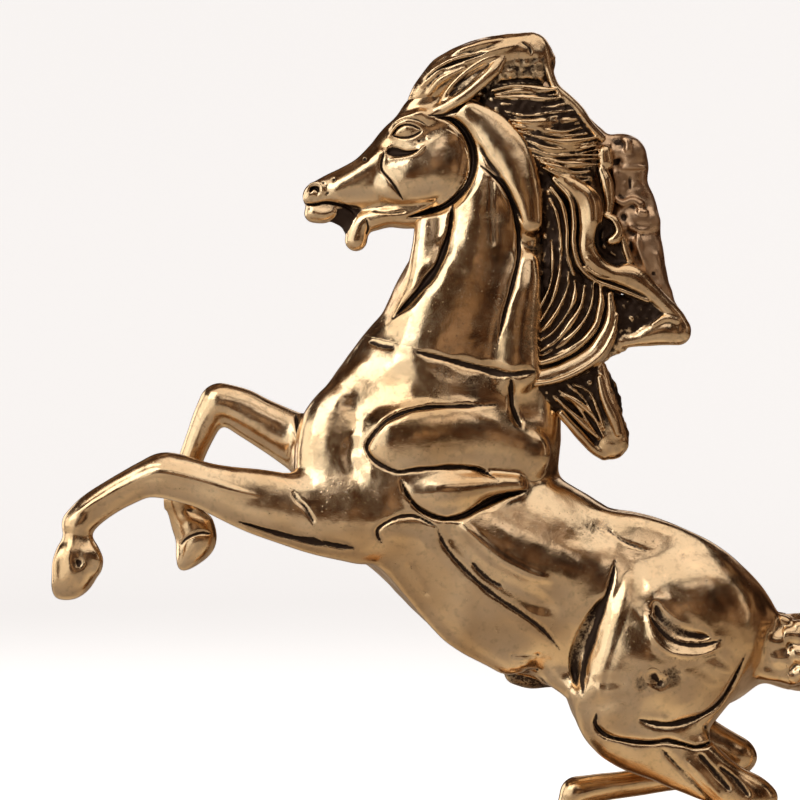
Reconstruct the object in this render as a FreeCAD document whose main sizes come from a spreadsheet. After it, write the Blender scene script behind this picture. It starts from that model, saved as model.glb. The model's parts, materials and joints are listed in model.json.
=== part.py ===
import FreeCAD, Part

import math
import os

import Sketcher
from FreeCAD import Placement, Rotation, Vector

# Rearing bronze horse on a cast base, about 330 mm tall.
#
# The horse is assembled from separate castings, brazed over steel pins: a hollow torso, the head and neck,
# the two leaves of the mane, four legs and the tail. Plugs close the core holes in the haunches and the
# belly. The near hind hoof and the tip of the tail stand on the base. Each is held by a stud with a washer
# and a nut in a counterbore. A felt sheet covers the underside.
#
# Frame: millimetres, +Z up. The horse faces -X and its near (left) side faces -Y. The origin is the centre
# of the felt's underside.

PARTS_FOLDER = "parts"
REFERENCE_HEIGHT = 330.0  # the stations below are written for a horse of this height

doc = FreeCAD.newDocument("rearing_horse")

# ----------------------------------------------------------------------------------------------------
# Driving dimensions, in millimetres
# ----------------------------------------------------------------------------------------------------

DIMENSIONS = [
    ("figure_height", 330.0, "felt underside to the top of the forelock"),
    ("base_length", 180.0, "along X"),
    ("base_width", 90.0, "along Y"),
    ("base_corner", 32.0, "corner radius of the base, seen from above"),
    ("base_thick", 12.0, "the flat of the base, above the felt"),
    ("base_bevel", 2.5, "bevel round the top edge"),
    ("felt_thick", 1.5, "felt sheet under the base"),
    ("felt_inset", 3.0, "how far the felt stays inside the base's edge"),
    ("shell_wall", 4.0, "wall of the hollow torso casting"),
    ("stud_radius", 2.5, "M5 studs"),
    ("stud_clearance", 0.3, "radial clearance of the stud in the base"),
    ("stud_grip", 8.0, "how far a stud goes into the hoof or the tail"),
    ("nut_flats", 8.0, "across the flats of an M5 nut"),
    ("nut_thick", 4.0, "M5 nut"),
    ("washer_radius", 5.0, "M5 washer"),
    ("washer_thick", 1.0, "M5 washer"),
    ("bore_radius", 5.8, "counterbore in the underside of the base"),
    ("bore_depth", 6.5, "counterbore in the underside of the base"),
    ("hoof_x", 2.5, "near hind hoof's stud"),
    ("hoof_y", -16.0, "near hind hoof's stud"),
    ("tail_x", 79.0, "tail tip's stud"),
    ("tail_y", 0.0, "tail tip's stud"),
    ("pin_radius", 2.0, "locating pins in the brazed joints"),
    ("pin_length", 12.0, "locating pins in the brazed joints"),
    ("plug_radius", 3.5, "round core plug in each haunch"),
    ("plug_length", 30.0, "blank for a haunch plug, before it is dressed flush"),
]

sheet = doc.addObject("Spreadsheet::Sheet", "dimensions")
for row, (alias, value, note) in enumerate(DIMENSIONS, start=1):
    sheet.set(f"A{row}", alias)
    sheet.set(f"B{row}", str(value))
    sheet.set(f"C{row}", note)
    sheet.setAlias(f"B{row}", alias)
doc.recompute()


def size(alias):
    """A driving dimension's value, for the pieces whose shape is set in code."""
    return float(sheet.get(alias))


SCALE = size("figure_height") / REFERENCE_HEIGHT

# ----------------------------------------------------------------------------------------------------
# Organic castings: each is lofted through oval stations along its own middle line.
# A station is (x, z, half depth in the XZ plane, half width along Y, y of the middle).
# ----------------------------------------------------------------------------------------------------

TORSO_BARREL = [
    (-118, 187, 5, 6, 0),
    (-112, 184, 17.5, 16, 0),
    (-98, 177.5, 27.5, 23, 0),
    (-75, 164, 32, 26, 0),
    (-45, 145, 33.5, 25.5, 0),
    (-18, 132, 32.5, 24, 0),
    (8, 125, 31, 24, 0),
    (30, 118, 24, 20, 0),
    (43, 116, 14, 13, 0),
    (49, 115, 6, 6, 0),
]
NECK_ROOT = [
    (-74, 170, 40, 17, 0),
    (-71, 184, 45, 21, 0),
    (-66.5, 199, 41, 20.5, 0),
    (-61.5, 214.5, 35, 18.5, 0),
]
SHEATH = [
    (-49, 110, 2.5, 3, 0),
    (-43, 105.5, 5, 5, 0),
    (-35, 105, 5.5, 5.2, 0),
    (-28, 106, 5, 4.6, 0),
    (-21, 110, 3, 3, 0),
]
SHOULDER = [
    (-70, 205, 8, 5, -14),
    (-76, 192, 19, 9, -16),
    (-84, 176, 24, 10, -17),
    (-92, 162, 20, 9, -16),
    (-98, 154, 8, 5, -15),
]
HAUNCH = [
    (24, 147, 8, 6, -11),
    (19, 138, 22, 11, -13),
    (13, 122, 30, 14, -14),
    (8, 106, 28.5, 14, -15),
    (6, 93, 23.5, 12, -15),
    (5, 86, 18, 9, -15),
]
NECK = [
    (-62, 207, 31, 15, 0),
    (-59.5, 218, 33, 17, 0),
    (-55.5, 231, 30, 16.2, 0),
    (-53, 247, 27.5, 15, 0),
    (-51, 264, 24, 13.5, 0),
    (-51, 281, 20, 12, 0),
    (-54, 296, 15, 10, 0),
    (-58, 306, 8, 6, 0),
]
HEAD = [
    (-57, 297, 9, 6, 0),
    (-62, 294, 15, 9.5, 0),
    (-70, 289, 18.5, 11, 0),
    (-80, 283.5, 15.5, 10, 0),
    (-90, 278, 12.5, 8, 0),
    (-100, 273, 9.5, 7, 0),
    (-108, 270, 8, 6.5, 0),
    (-114, 268, 5.5, 5.5, 0),
    (-116.5, 267.5, 2.5, 3, 0),
]
LOWER_JAW = [
    (-74, 268, 5.5, 6, 0),
    (-84, 265, 4.4, 5, 0),
    (-92, 262.5, 3.6, 4.2, 0),
    (-97, 258.8, 3.6, 3.8, 0),
    (-98.3, 255.4, 2, 2.4, 0),
]
EAR = [
    (-72, 302, 3, 2.4, -6.5),
    (-64, 308, 4.2, 2.8, -8.5),
    (-56, 313.4, 4.2, 2.4, -9.5),
    (-49, 318, 2.4, 1.5, -9.5),
    (-45.5, 320.6, 0.8, 0.6, -9),
]
NEAR_FORELEG = [
    (-88, 156, 13, 8, -14),
    (-100, 160.5, 14.5, 9, -15),
    (-112, 162.5, 14, 8.5, -15),
    (-125, 164.5, 11.8, 7.5, -15),
    (-140, 168, 9.2, 6.4, -15),
    (-152, 172, 8, 6, -15),
    (-163, 175.3, 8, 6.2, -15),
    (-172, 173.5, 6.8, 5.2, -15),
    (-182, 167.8, 5.6, 4.6, -15),
    (-190, 163, 5.6, 4.8, -15),
    (-195.5, 158, 5.6, 5, -15),
    (-195.8, 153, 5, 4.6, -15),
    (-195.2, 148.5, 7.2, 6.2, -15),
    (-195.6, 143.5, 8.8, 7.2, -15),
    (-198.4, 137, 6.6, 6, -15),
    (-201.5, 132.2, 2.6, 3.2, -15),
]
FAR_FOREARM = [
    (-95, 172, 14, 8, 13),
    (-108, 180, 12, 8, 14),
    (-120, 186, 10.4, 7.4, 14),
    (-132, 192.3, 8.2, 6.4, 14),
    (-142, 197.6, 7, 6, 14),
    (-148, 200.5, 5.4, 5, 14),
    (-150.5, 201.5, 2.5, 2.6, 14),
]
FAR_CANNON = [
    (-142.5, 205.8, 3, 3.2, 14),
    (-145.5, 201, 6.6, 6, 14),
    (-149.5, 194, 5.2, 4.8, 14),
    (-153.5, 184, 4.7, 4.3, 14),
    (-157, 174, 4.7, 4.3, 14),
    (-159.4, 166, 5.6, 4.8, 14),
    (-158.6, 160.5, 4.8, 4.4, 14),
    (-155.5, 155.5, 7, 6, 14),
    (-153.8, 150.5, 7.4, 6.6, 14),
    (-156.5, 144.5, 4.4, 5, 14),
    (-158.5, 141.5, 1.6, 2.4, 14),
]
NEAR_GASKIN = [
    (-6, 99, 10, 6, -15),
    (-1, 89, 14.6, 8.2, -15.4),
    (8, 81, 13.5, 8.2, -15.8),
    (19, 75, 10.8, 7.2, -16),
    (30, 68.5, 8.8, 6.2, -16),
    (39, 63, 8.2, 5.8, -16),
    (44.5, 60, 4.5, 4, -16),
]
NEAR_HIND_CANNON = [
    (43, 67.5, 4, 3.6, -16),
    (40.5, 62.5, 7.6, 5.4, -16),
    (35, 54, 6.6, 5, -16),
    (28, 45, 5.2, 4.3, -16),
    (20.5, 34.5, 5, 4.3, -16),
    (14.5, 27.5, 6.2, 4.9, -16),
    (9.5, 23, 5.4, 4.6, -16),
    (5, 19.5, 7.2, 6.4, -16),
    (2.5, 13.5, 8.6, 7.6, -16),
]
FAR_GASKIN = [
    (-8, 97, 12, 7, 14),
    (-2, 91, 14, 8.5, 15),
    (8, 88, 11.5, 8, 15.5),
    (18, 84, 8.5, 7, 16),
    (27, 80.2, 6.6, 5.8, 16),
    (35, 76, 5.6, 5.2, 16),
    (38.5, 74, 3, 3.2, 16),
]
FAR_HIND_CANNON = [
    (38.5, 75.5, 3, 3.2, 16),
    (34.5, 71.8, 5, 4.8, 16),
    (25, 69.5, 4.7, 4.4, 16),
    (12, 68.3, 4.5, 4.2, 16),
    (0, 66.6, 4.9, 4.3, 16),
    (-12, 65, 5.3, 4.6, 16),
    (-20, 62, 6, 5, 16),
    (-23, 55.5, 4.8, 4.5, 16),
    (-23.8, 50.5, 7, 6, 16),
    (-24.5, 45, 8.2, 7, 16),
    (-27.5, 39, 6, 5.8, 16),
    (-31, 34.6, 2.4, 3, 16),
]
TAIL = [
    (38, 116, 7, 7, 0),
    (48, 114.5, 10.5, 9.5, 0),
    (58, 114, 12.8, 11, 0),
    (72, 115, 13, 11.5, 0),
    (86, 110, 13, 12, 0),
    (97, 99, 13, 12, 0),
    (102, 84, 12.5, 11.5, 0),
    (101, 66, 11.5, 10.5, 0),
    (96, 48, 10, 9.5, 0),
    (88, 31, 8.5, 8, 0),
    (79, 13.5, 6.5, 6.5, 0),
]
OVAL_POINTS = 12  # points that each oval is drawn through


def middle_line_tangents(centres):
    """A direction at each station: along the line from the station before to the one after."""
    tangents = []
    for i in range(len(centres)):
        before = centres[max(i - 1, 0)]
        after = centres[min(i + 1, len(centres) - 1)]
        tangents.append((after - before).normalize())
    return tangents


def oval(centre, tangent, half_depth, half_width):
    """A closed oval across the middle line, always started on the same side, so that a loft can't twist."""
    across = Vector(0, 1, 0)
    up = tangent.cross(across).normalize()
    across = up.cross(tangent).normalize()
    points = []
    for i in range(OVAL_POINTS):
        turn = 2 * math.pi * i / OVAL_POINTS
        points.append(centre + up * (half_depth * math.cos(turn)) + across * (half_width * math.sin(turn)))
    curve = Part.BSplineCurve()
    curve.interpolate(Points=points, PeriodicFlag=True)
    return Part.Wire(curve.toShape())


def lofted(stations, side=1, thinner=0.0):
    """A solid through the stations; side -1 puts it on the far side, and thinner takes a wall off."""
    centres = [Vector(x, y * side, z) * SCALE for x, z, _, _, y in stations]
    wires = []
    for centre, tangent, station in zip(centres, middle_line_tangents(centres), stations):
        half_depth = station[2] * SCALE - thinner
        half_width = station[3] * SCALE - thinner
        wires.append(oval(centre, tangent, half_depth, half_width))
    return Part.makeLoft(wires, True, False)


def form(name, shape):
    """A document object that holds a lofted form; the castings are made from these by booleans."""
    made = doc.addObject("Part::Feature", name)
    made.Shape = shape
    return made


def fuse(name, *bases):
    made = doc.addObject("Part::MultiFuse", name)
    made.Shapes = list(bases)
    return made


def cut(name, base, tool):
    made = doc.addObject("Part::Cut", name)
    made.Base = base
    made.Tool = tool
    return made


def common(name, base, tool):
    made = doc.addObject("Part::MultiCommon", name)
    made.Shapes = [base, tool]
    return made


def bind(made, **expressions):
    """Binds properties of a document object to the spreadsheet."""
    for name, expression in expressions.items():
        made.setExpression(name, expression)
    return made


def cylinder(name, radius, height, at=Vector(), along=Vector(0, 0, 1)):
    """A cylinder whose radius and height are expressions over the spreadsheet."""
    made = doc.addObject("Part::Cylinder", name)
    made.Placement = Placement(at, Rotation(Vector(0, 0, 1), along))
    return bind(made, Radius=radius, Height=height)


# ----------------------------------------------------------------------------------------------------
# Torso: a hollow shell with the shoulders and haunches on it
# ----------------------------------------------------------------------------------------------------

NEAR, FAR = 1, -1  # the stations of paired forms are written for the near side


def locating_pin(name, middle, along):
    """A steel pin across a brazed joint, centred on it."""
    start = middle * SCALE - along.normalize() * (size("pin_length") / 2)
    return cylinder(name, "dimensions.pin_radius", "dimensions.pin_length", start, along)


torso_outside = fuse(
    "torso_outside",
    form("barrel_form", lofted(TORSO_BARREL)),
    form("neck_root_form", lofted(NECK_ROOT)),
    form("sheath_form", lofted(SHEATH)),
    form("near_shoulder_form", lofted(SHOULDER, NEAR)),
    form("far_shoulder_form", lofted(SHOULDER, FAR)),
    form("near_haunch_form", lofted(HAUNCH, NEAR)),
    form("far_haunch_form", lofted(HAUNCH, FAR)),
)
torso_cavity = form("torso_cavity", lofted(TORSO_BARREL[2:8], thinner=size("shell_wall")))

HAUNCH_PLUG_AT = Vector(4.2, 0, 107)
BELLY_PLUG_AT = Vector(-44.5, -21, 102)
BELLY_PLUG_SIZE = (10.5, 8.0, 14.0)

near_plug_blank = cylinder(
    "near_plug_blank",
    "dimensions.plug_radius",
    "dimensions.plug_length",
    (HAUNCH_PLUG_AT + Vector(0, -18, 0)) * SCALE,
    Vector(0, -1, 0),
)
far_plug_blank = cylinder(
    "far_plug_blank",
    "dimensions.plug_radius",
    "dimensions.plug_length",
    (HAUNCH_PLUG_AT + Vector(0, 18, 0)) * SCALE,
    Vector(0, 1, 0),
)
core_hole = cylinder(
    "core_hole",
    "dimensions.plug_radius",
    "dimensions.plug_length * 3",
    HAUNCH_PLUG_AT * SCALE - Vector(0, 1.5 * size("plug_length"), 0),
    Vector(0, 1, 0),
)
belly_blank = doc.addObject("Part::Box", "belly_blank")
belly_blank.Length, belly_blank.Width, belly_blank.Height = [edge * SCALE for edge in BELLY_PLUG_SIZE]
belly_blank.Placement = Placement(BELLY_PLUG_AT * SCALE, Rotation())

pins = {
    "neck_pin_front": locating_pin("neck_pin_front", Vector(-84, 0, 219.8), Vector(0.25, 0, 1)),
    "neck_pin_rear": locating_pin("neck_pin_rear", Vector(-41, 0, 209.4), Vector(0.25, 0, 1)),
    "near_foreleg_pin": locating_pin("near_foreleg_pin", Vector(-110, -15, 162), Vector(-1, 0, 0.1)),
    "far_foreleg_pin": locating_pin("far_foreleg_pin", Vector(-115, 13.5, 184), Vector(-1, 0, 0.45)),
    "near_hindleg_pin": locating_pin("near_hindleg_pin", Vector(4, -15, 86), Vector(0, 0, -1)),
    "far_hindleg_pin": locating_pin("far_hindleg_pin", Vector(4, 15, 88), Vector(0, 0, -1)),
    "tail_pin": locating_pin("tail_pin", Vector(48, 0, 115.5), Vector(1, 0, 0)),
}
torso_tools = fuse("torso_tools", torso_cavity, core_hole, belly_blank, *pins.values())
castings = {"torso_casting": cut("torso_cut", torso_outside, torso_tools)}

# ----------------------------------------------------------------------------------------------------
# Plugs that close the core holes, dressed flush with the casting
# ----------------------------------------------------------------------------------------------------

castings["near_haunch_plug"] = common("near_plug_cut", near_plug_blank, torso_outside)
castings["far_haunch_plug"] = common("far_plug_cut", far_plug_blank, torso_outside)
belly_trimmed = common("belly_trimmed", belly_blank, torso_outside)
castings["belly_plug"] = cut("belly_plug_cut", belly_trimmed, torso_cavity)



def fitted(name, outside, *pin_names):
    """What of a form lies outside the torso, drilled for its pins."""
    made = cut(f"{name}_off_torso", outside, torso_outside)
    for pin_name in pin_names:
        made = cut(f"{name}_off_{pin_name}", made, pins[pin_name])
    return made


# ----------------------------------------------------------------------------------------------------
# Head and neck, with the lower jaw and the ears
# ----------------------------------------------------------------------------------------------------

neck_cavity = form("neck_cavity", lofted(NECK[2:7], thinner=size("shell_wall") + 1.0))
head_outside = fuse(
    "head_outside",
    form("neck_form", lofted(NECK)),
    form("head_form", lofted(HEAD)),
    form("jaw_form", lofted(LOWER_JAW)),
    form("near_ear_form", lofted(EAR, NEAR)),
    form("far_ear_form", lofted(EAR, FAR)),
)
head_solid = fitted("head_and_neck_casting", head_outside, "neck_pin_front", "neck_pin_rear")
castings["head_and_neck_casting"] = cut("head_hollowed", head_solid, neck_cavity)

# ----------------------------------------------------------------------------------------------------
# Mane: two leaves that meet on the horse's middle plane and overlap the crest of the neck
# ----------------------------------------------------------------------------------------------------

NEAR_MANE_OUTLINE = [
    (-76.5, 310), (-75.5, 316), (-66, 322.5), (-50, 328), (-34, 329.9), (-29, 325), (-28, 315), (-20, 304),
    (-12, 296), (-9, 284), (-8, 268), (-3, 256), (4, 242), (14, 232), (18, 224), (10, 220.5), (-3, 219.5),
    (-8.5, 209), (-5, 199), (-0.8, 188), (-8, 180.2), (-15, 184.5), (-24, 192.5), (-34, 200), (-44, 212),
    (-40, 235), (-36, 255), (-38, 275), (-44, 292), (-52, 306), (-64, 308),
]
FAR_MANE_OUTLINE = [
    (-60, 316), (-46, 322), (-34, 322), (-26, 308), (-14, 297), (-3, 293.8), (3, 290), (5.5, 275), (9.5, 261),
    (12, 244), (18, 229), (17, 221.5), (4, 220.5), (-6, 214), (-14, 200), (-26, 196), (-38, 212), (-36, 235),
    (-33, 255), (-36, 275), (-44, 292), (-54, 304),
]


def leaf(outline, inner_y, outer_y, inset):
    """A leaf of the mane: its outline on the inner face, drawn in by inset on the outer one."""
    middle = Vector(sum(x for x, _ in outline) / len(outline), 0, sum(z for _, z in outline) / len(outline))
    wires = []
    for y, drawn_in in ((inner_y, 0.0), ((inner_y + outer_y) / 2, 0.3 * inset), (outer_y, inset)):
        points = []
        for x, z in outline:
            corner = Vector(x, 0, z)
            inward = (middle - corner).normalize() * drawn_in
            points.append((corner + inward + Vector(0, y, 0)) * SCALE)
        curve = Part.BSplineCurve()
        curve.interpolate(Points=points, PeriodicFlag=True)
        wires.append(Part.Wire(curve.toShape()))
    return Part.makeLoft(wires, True, True)


near_mane_form = form("near_mane_form", leaf(NEAR_MANE_OUTLINE, -0.05, -11, 4))
far_mane_form = form("far_mane_form", leaf(FAR_MANE_OUTLINE, 0.05, 11, 4))
for side, mane_form in (("near", near_mane_form), ("far", far_mane_form)):
    off_head = cut(f"{side}_mane_off_head", mane_form, head_outside)
    castings[f"{side}_mane_casting"] = cut(f"{side}_mane_cut", off_head, torso_outside)

# ----------------------------------------------------------------------------------------------------
# Legs and tail
# ----------------------------------------------------------------------------------------------------


def stud(name, at_x, at_y):
    """A stud up through the base into the piece that stands on it."""
    made = cylinder(
        name,
        "dimensions.stud_radius",
        "dimensions.base_thick - dimensions.bore_depth + dimensions.nut_thick + dimensions.washer_thick"
        " + dimensions.stud_grip",
    )
    return bind(
        made,
        **{
            "Placement.Base.x": f"dimensions.{at_x}",
            "Placement.Base.y": f"dimensions.{at_y}",
            "Placement.Base.z": "dimensions.felt_thick + dimensions.bore_depth - dimensions.nut_thick"
            " - dimensions.washer_thick",
        },
    )


hoof_stud = stud("hoof_stud", "hoof_x", "hoof_y")
tail_stud = stud("tail_stud", "tail_x", "tail_y")

near_hind_outside = fuse(
    "near_hind_outside",
    form("near_gaskin_form", lofted(NEAR_GASKIN)),
    form("near_hind_cannon_form", lofted(NEAR_HIND_CANNON)),
)
far_hind_outside = fuse(
    "far_hind_outside",
    form("far_gaskin_form", lofted(FAR_GASKIN)),
    form("far_hind_cannon_form", lofted(FAR_HIND_CANNON)),
)
far_fore_outside = fuse(
    "far_fore_outside",
    form("far_forearm_form", lofted(FAR_FOREARM)),
    form("far_cannon_form", lofted(FAR_CANNON)),
)
near_fore_outside = form("near_foreleg_form", lofted(NEAR_FORELEG))
tail_outside = form("tail_form", lofted(TAIL))
pins["hoof_stud"] = hoof_stud
pins["tail_stud"] = tail_stud
for name, outside, pin_names in (
    ("near_foreleg_casting", near_fore_outside, ["near_foreleg_pin"]),
    ("far_foreleg_casting", far_fore_outside, ["far_foreleg_pin"]),
    ("near_hindleg_casting", near_hind_outside, ["near_hindleg_pin", "hoof_stud"]),
    ("far_hindleg_casting", far_hind_outside, ["far_hindleg_pin"]),
    ("tail_casting", tail_outside, ["tail_pin", "tail_stud"]),
):
    castings[name] = fitted(name, outside, *pin_names)

# ----------------------------------------------------------------------------------------------------
# Base casting, felt sheet and fixings
# ----------------------------------------------------------------------------------------------------


def plane_of(body, role):
    """One of a body's own origin planes."""
    return next(feature for feature in body.Origin.OriginFeatures if feature.Role == role)


def rounded_outline(body, name, length, width, corner):
    """A sketch of a rounded rectangle about the origin; its sizes are expressions over the spreadsheet."""
    sketch = body.newObject("Sketcher::SketchObject", name)
    sketch.AttachmentSupport = [(plane_of(body, "XY_Plane"), "")]
    sketch.MapMode = "FlatFace"
    half_x, half_y, radius = 80.0, 40.0, 20.0  # a first drawing, which the constraints then drive
    corners = [
        (half_x - radius, half_y - radius, 0.0),
        (radius - half_x, half_y - radius, 90.0),
        (radius - half_x, radius - half_y, 180.0),
        (half_x - radius, radius - half_y, 270.0),
    ]
    arcs = []
    for x, y, start in corners:
        circle = Part.Circle(Vector(x, y, 0), Vector(0, 0, 1), radius)
        arc = Part.ArcOfCircle(circle, math.radians(start), math.radians(start + 90))
        arcs.append(sketch.addGeometry(arc, False))
    sides = []
    for i in range(4):
        start = sketch.getPoint(arcs[i], 2)
        end = sketch.getPoint(arcs[(i + 1) % 4], 1)
        sides.append(sketch.addGeometry(Part.LineSegment(start, end), False))
    constrain = sketch.addConstraint
    for i in range(4):
        constrain(Sketcher.Constraint("Tangent", arcs[i], 2, sides[i], 1))
        constrain(Sketcher.Constraint("Tangent", sides[i], 2, arcs[(i + 1) % 4], 1))
    for i in (0, 2):
        constrain(Sketcher.Constraint("Horizontal", sides[i]))
        constrain(Sketcher.Constraint("Vertical", sides[i + 1]))
    for i in range(1, 4):
        constrain(Sketcher.Constraint("Equal", arcs[0], arcs[i]))
    constrain(Sketcher.Constraint("Symmetric", arcs[0], 3, arcs[2], 3, -1, 1))
    across = constrain(Sketcher.Constraint("DistanceX", sides[1], 1, sides[3], 1, 2 * half_x))
    along = constrain(Sketcher.Constraint("DistanceY", sides[2], 1, sides[0], 1, 2 * half_y))
    round_size = constrain(Sketcher.Constraint("Radius", arcs[0], radius))
    sketch.setExpression(f"Constraints[{across}]", length)
    sketch.setExpression(f"Constraints[{along}]", width)
    sketch.setExpression(f"Constraints[{round_size}]", corner)
    return sketch


def padded_plate(name, length, width, corner, thickness):
    """A PartDesign body: a rounded rectangle padded upwards."""
    body = doc.addObject("PartDesign::Body", name)
    outline = rounded_outline(body, f"{name}_outline", length, width, corner)
    pad = body.newObject("PartDesign::Pad", f"{name}_pad")
    pad.Profile = outline
    pad.setExpression("Length", thickness)
    doc.recompute()
    return body, pad


def circles(body, name, places, radius):
    """A sketch of equal circles on a body's XY plane."""
    sketch = body.newObject("Sketcher::SketchObject", name)
    sketch.AttachmentSupport = [(plane_of(body, "XY_Plane"), "")]
    sketch.MapMode = "FlatFace"
    for at_x, at_y in places:
        centre = Vector(size(at_x), size(at_y), 0)
        circle = sketch.addGeometry(Part.Circle(centre, Vector(0, 0, 1), 3.0), False)
        wide = sketch.addConstraint(Sketcher.Constraint("Radius", circle, 3.0))
        sketch.setExpression(f"Constraints[{wide}]", radius)
        if centre.x:
            right = sketch.addConstraint(Sketcher.Constraint("DistanceX", -1, 1, circle, 3, centre.x))
            sketch.setExpression(f"Constraints[{right}]", f"dimensions.{at_x}")
        else:
            sketch.addConstraint(Sketcher.Constraint("PointOnObject", circle, 3, -2))
        if centre.y:
            back = sketch.addConstraint(Sketcher.Constraint("DistanceY", -1, 1, circle, 3, centre.y))
            sketch.setExpression(f"Constraints[{back}]", f"dimensions.{at_y}")
        else:
            sketch.addConstraint(Sketcher.Constraint("PointOnObject", circle, 3, -1))
    return sketch


def pocket(body, name, outline, depth=None):
    """A pocket upwards from the body's underside; through the whole body where no depth is given."""
    made = body.newObject("PartDesign::Pocket", name)
    made.Profile = outline
    made.Reversed = True
    if depth is None:
        made.Type = "ThroughAll"
    else:
        made.setExpression("Length", depth)
    doc.recompute()
    return made


STUD_PLACES = (("hoof_x", "hoof_y"), ("tail_x", "tail_y"))

base_body, base_pad = padded_plate(
    "base_casting_body",
    "dimensions.base_length",
    "dimensions.base_width",
    "dimensions.base_corner",
    "dimensions.base_thick",
)
solid_volume = base_body.Shape.Volume
clearance_sketch = circles(
    base_body, "stud_hole_circles", STUD_PLACES, "dimensions.stud_radius + dimensions.stud_clearance"
)
pocket(base_body, "stud_holes", clearance_sketch)
drilled_volume = base_body.Shape.Volume
bore_sketch = circles(base_body, "counterbore_circles", STUD_PLACES, "dimensions.bore_radius")
pocket(base_body, "counterbores", bore_sketch, "dimensions.bore_depth")
assert drilled_volume < solid_volume and base_body.Shape.Volume < drilled_volume, "a pocket cut nothing"
hole_size = size("stud_radius") + size("stud_clearance")
top_edges = []
for number, edge in enumerate(base_body.Shape.Edges, start=1):
    box = edge.BoundBox
    on_top = box.ZMin > size("base_thick") - 0.01
    from_middle = max(abs(box.XMin), abs(box.XMax), abs(box.YMin), abs(box.YMax))
    on_hole = abs(edge.Length - 2 * math.pi * hole_size) < 0.01
    if on_top and from_middle > size("base_width") / 2 - 1 and not on_hole:
        top_edges.append(f"Edge{number}")
drilled = base_body.Tip
bevel = base_body.newObject("PartDesign::Chamfer", "top_bevel")
bevel.Base = (drilled, top_edges)
bevel.setExpression("Size", "dimensions.base_bevel")
doc.recompute()
base_body.setExpression("Placement.Base.z", "dimensions.felt_thick")
castings["base_casting"] = base_body

felt_body, felt_pad = padded_plate(
    "felt_body",
    "dimensions.base_length - 2 * dimensions.felt_inset",
    "dimensions.base_width - 2 * dimensions.felt_inset",
    "dimensions.base_corner - dimensions.felt_inset",
    "dimensions.felt_thick",
)
castings["felt_sheet"] = felt_body


def place(made, at_x, at_y, height):
    return bind(
        made,
        **{
            "Placement.Base.x": f"dimensions.{at_x}",
            "Placement.Base.y": f"dimensions.{at_y}",
            "Placement.Base.z": height,
        },
    )


def washer(name, at_x, at_y):
    """A flat washer against the floor of the counterbore."""
    height = "dimensions.felt_thick + dimensions.bore_depth - dimensions.washer_thick"
    disc = cylinder(f"{name}_disc", "dimensions.washer_radius", "dimensions.washer_thick")
    place(disc, at_x, at_y, height)
    hole_radius = "dimensions.stud_radius + dimensions.stud_clearance"
    hole = cylinder(f"{name}_hole", hole_radius, "dimensions.washer_thick")
    place(hole, at_x, at_y, height)
    return cut(f"{name}_cut", disc, hole)


def nut(name, at_x, at_y):
    """A hexagon nut under its washer, its bore at the stud's own radius because the thread fills it."""
    height = "dimensions.felt_thick + dimensions.bore_depth - dimensions.washer_thick - dimensions.nut_thick"
    blank = doc.addObject("Part::Prism", f"{name}_blank")
    blank.Polygon = 6
    bind(blank, Circumradius="dimensions.nut_flats / sqrt(3)", Height="dimensions.nut_thick")
    place(blank, at_x, at_y, height)
    hole = cylinder(f"{name}_hole", "dimensions.stud_radius", "dimensions.nut_thick")
    place(hole, at_x, at_y, height)
    return cut(f"{name}_cut", blank, hole)


for piece, (at_x, at_y) in zip(("hoof", "tail"), STUD_PLACES):
    castings[f"{piece}_washer"] = washer(f"{piece}_washer", at_x, at_y)
    castings[f"{piece}_nut"] = nut(f"{piece}_nut", at_x, at_y)
castings.update(pins)

# ----------------------------------------------------------------------------------------------------
# Check every object, then write each piece
# ----------------------------------------------------------------------------------------------------

doc.recompute()
for made in doc.Objects:
    if "Invalid" in made.State or "Error" in made.State:
        raise RuntimeError(f"{made.Name} failed: {made.State}")

os.makedirs(PARTS_FOLDER, exist_ok=True)
SLIVER = 1.0  # mm3; scraps smaller than this, left where two curved forms graze, are not part of a piece
for node, made in castings.items():
    made.Label = node
    shape = made.Shape
    if shape.isNull() or not shape.isValid():
        raise RuntimeError(f"{node} has no valid shape")
    solids = [solid for solid in shape.Solids if solid.Volume > SLIVER]
    if not solids:
        raise RuntimeError(f"{node} holds no solid")
    kept = solids[0] if len(solids) == 1 else Part.makeCompound(solids)
    kept.exportStep(os.path.join(PARTS_FOLDER, f"{node}.step"))
    print(f"{node:24s} solids {len(solids)}  volume {kept.Volume:10.1f} mm3")
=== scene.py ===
import json
import math

import bpy
import numpy as np
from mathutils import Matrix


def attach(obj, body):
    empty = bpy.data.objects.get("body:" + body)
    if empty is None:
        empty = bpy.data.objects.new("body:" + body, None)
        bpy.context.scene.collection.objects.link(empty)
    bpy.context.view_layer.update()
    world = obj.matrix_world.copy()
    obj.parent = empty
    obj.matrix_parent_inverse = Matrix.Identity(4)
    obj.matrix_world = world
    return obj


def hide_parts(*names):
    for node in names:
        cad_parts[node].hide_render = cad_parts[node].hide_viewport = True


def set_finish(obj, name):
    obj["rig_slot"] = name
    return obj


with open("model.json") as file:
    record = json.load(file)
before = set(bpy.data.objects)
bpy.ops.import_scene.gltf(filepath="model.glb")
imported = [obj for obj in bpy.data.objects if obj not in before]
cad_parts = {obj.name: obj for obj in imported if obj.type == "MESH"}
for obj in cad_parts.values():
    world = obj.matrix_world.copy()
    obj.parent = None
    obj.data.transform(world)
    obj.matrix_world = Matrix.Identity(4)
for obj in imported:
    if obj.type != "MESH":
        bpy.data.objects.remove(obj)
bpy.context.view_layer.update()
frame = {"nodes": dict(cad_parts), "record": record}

import openvdb
from mathutils import Vector

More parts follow.
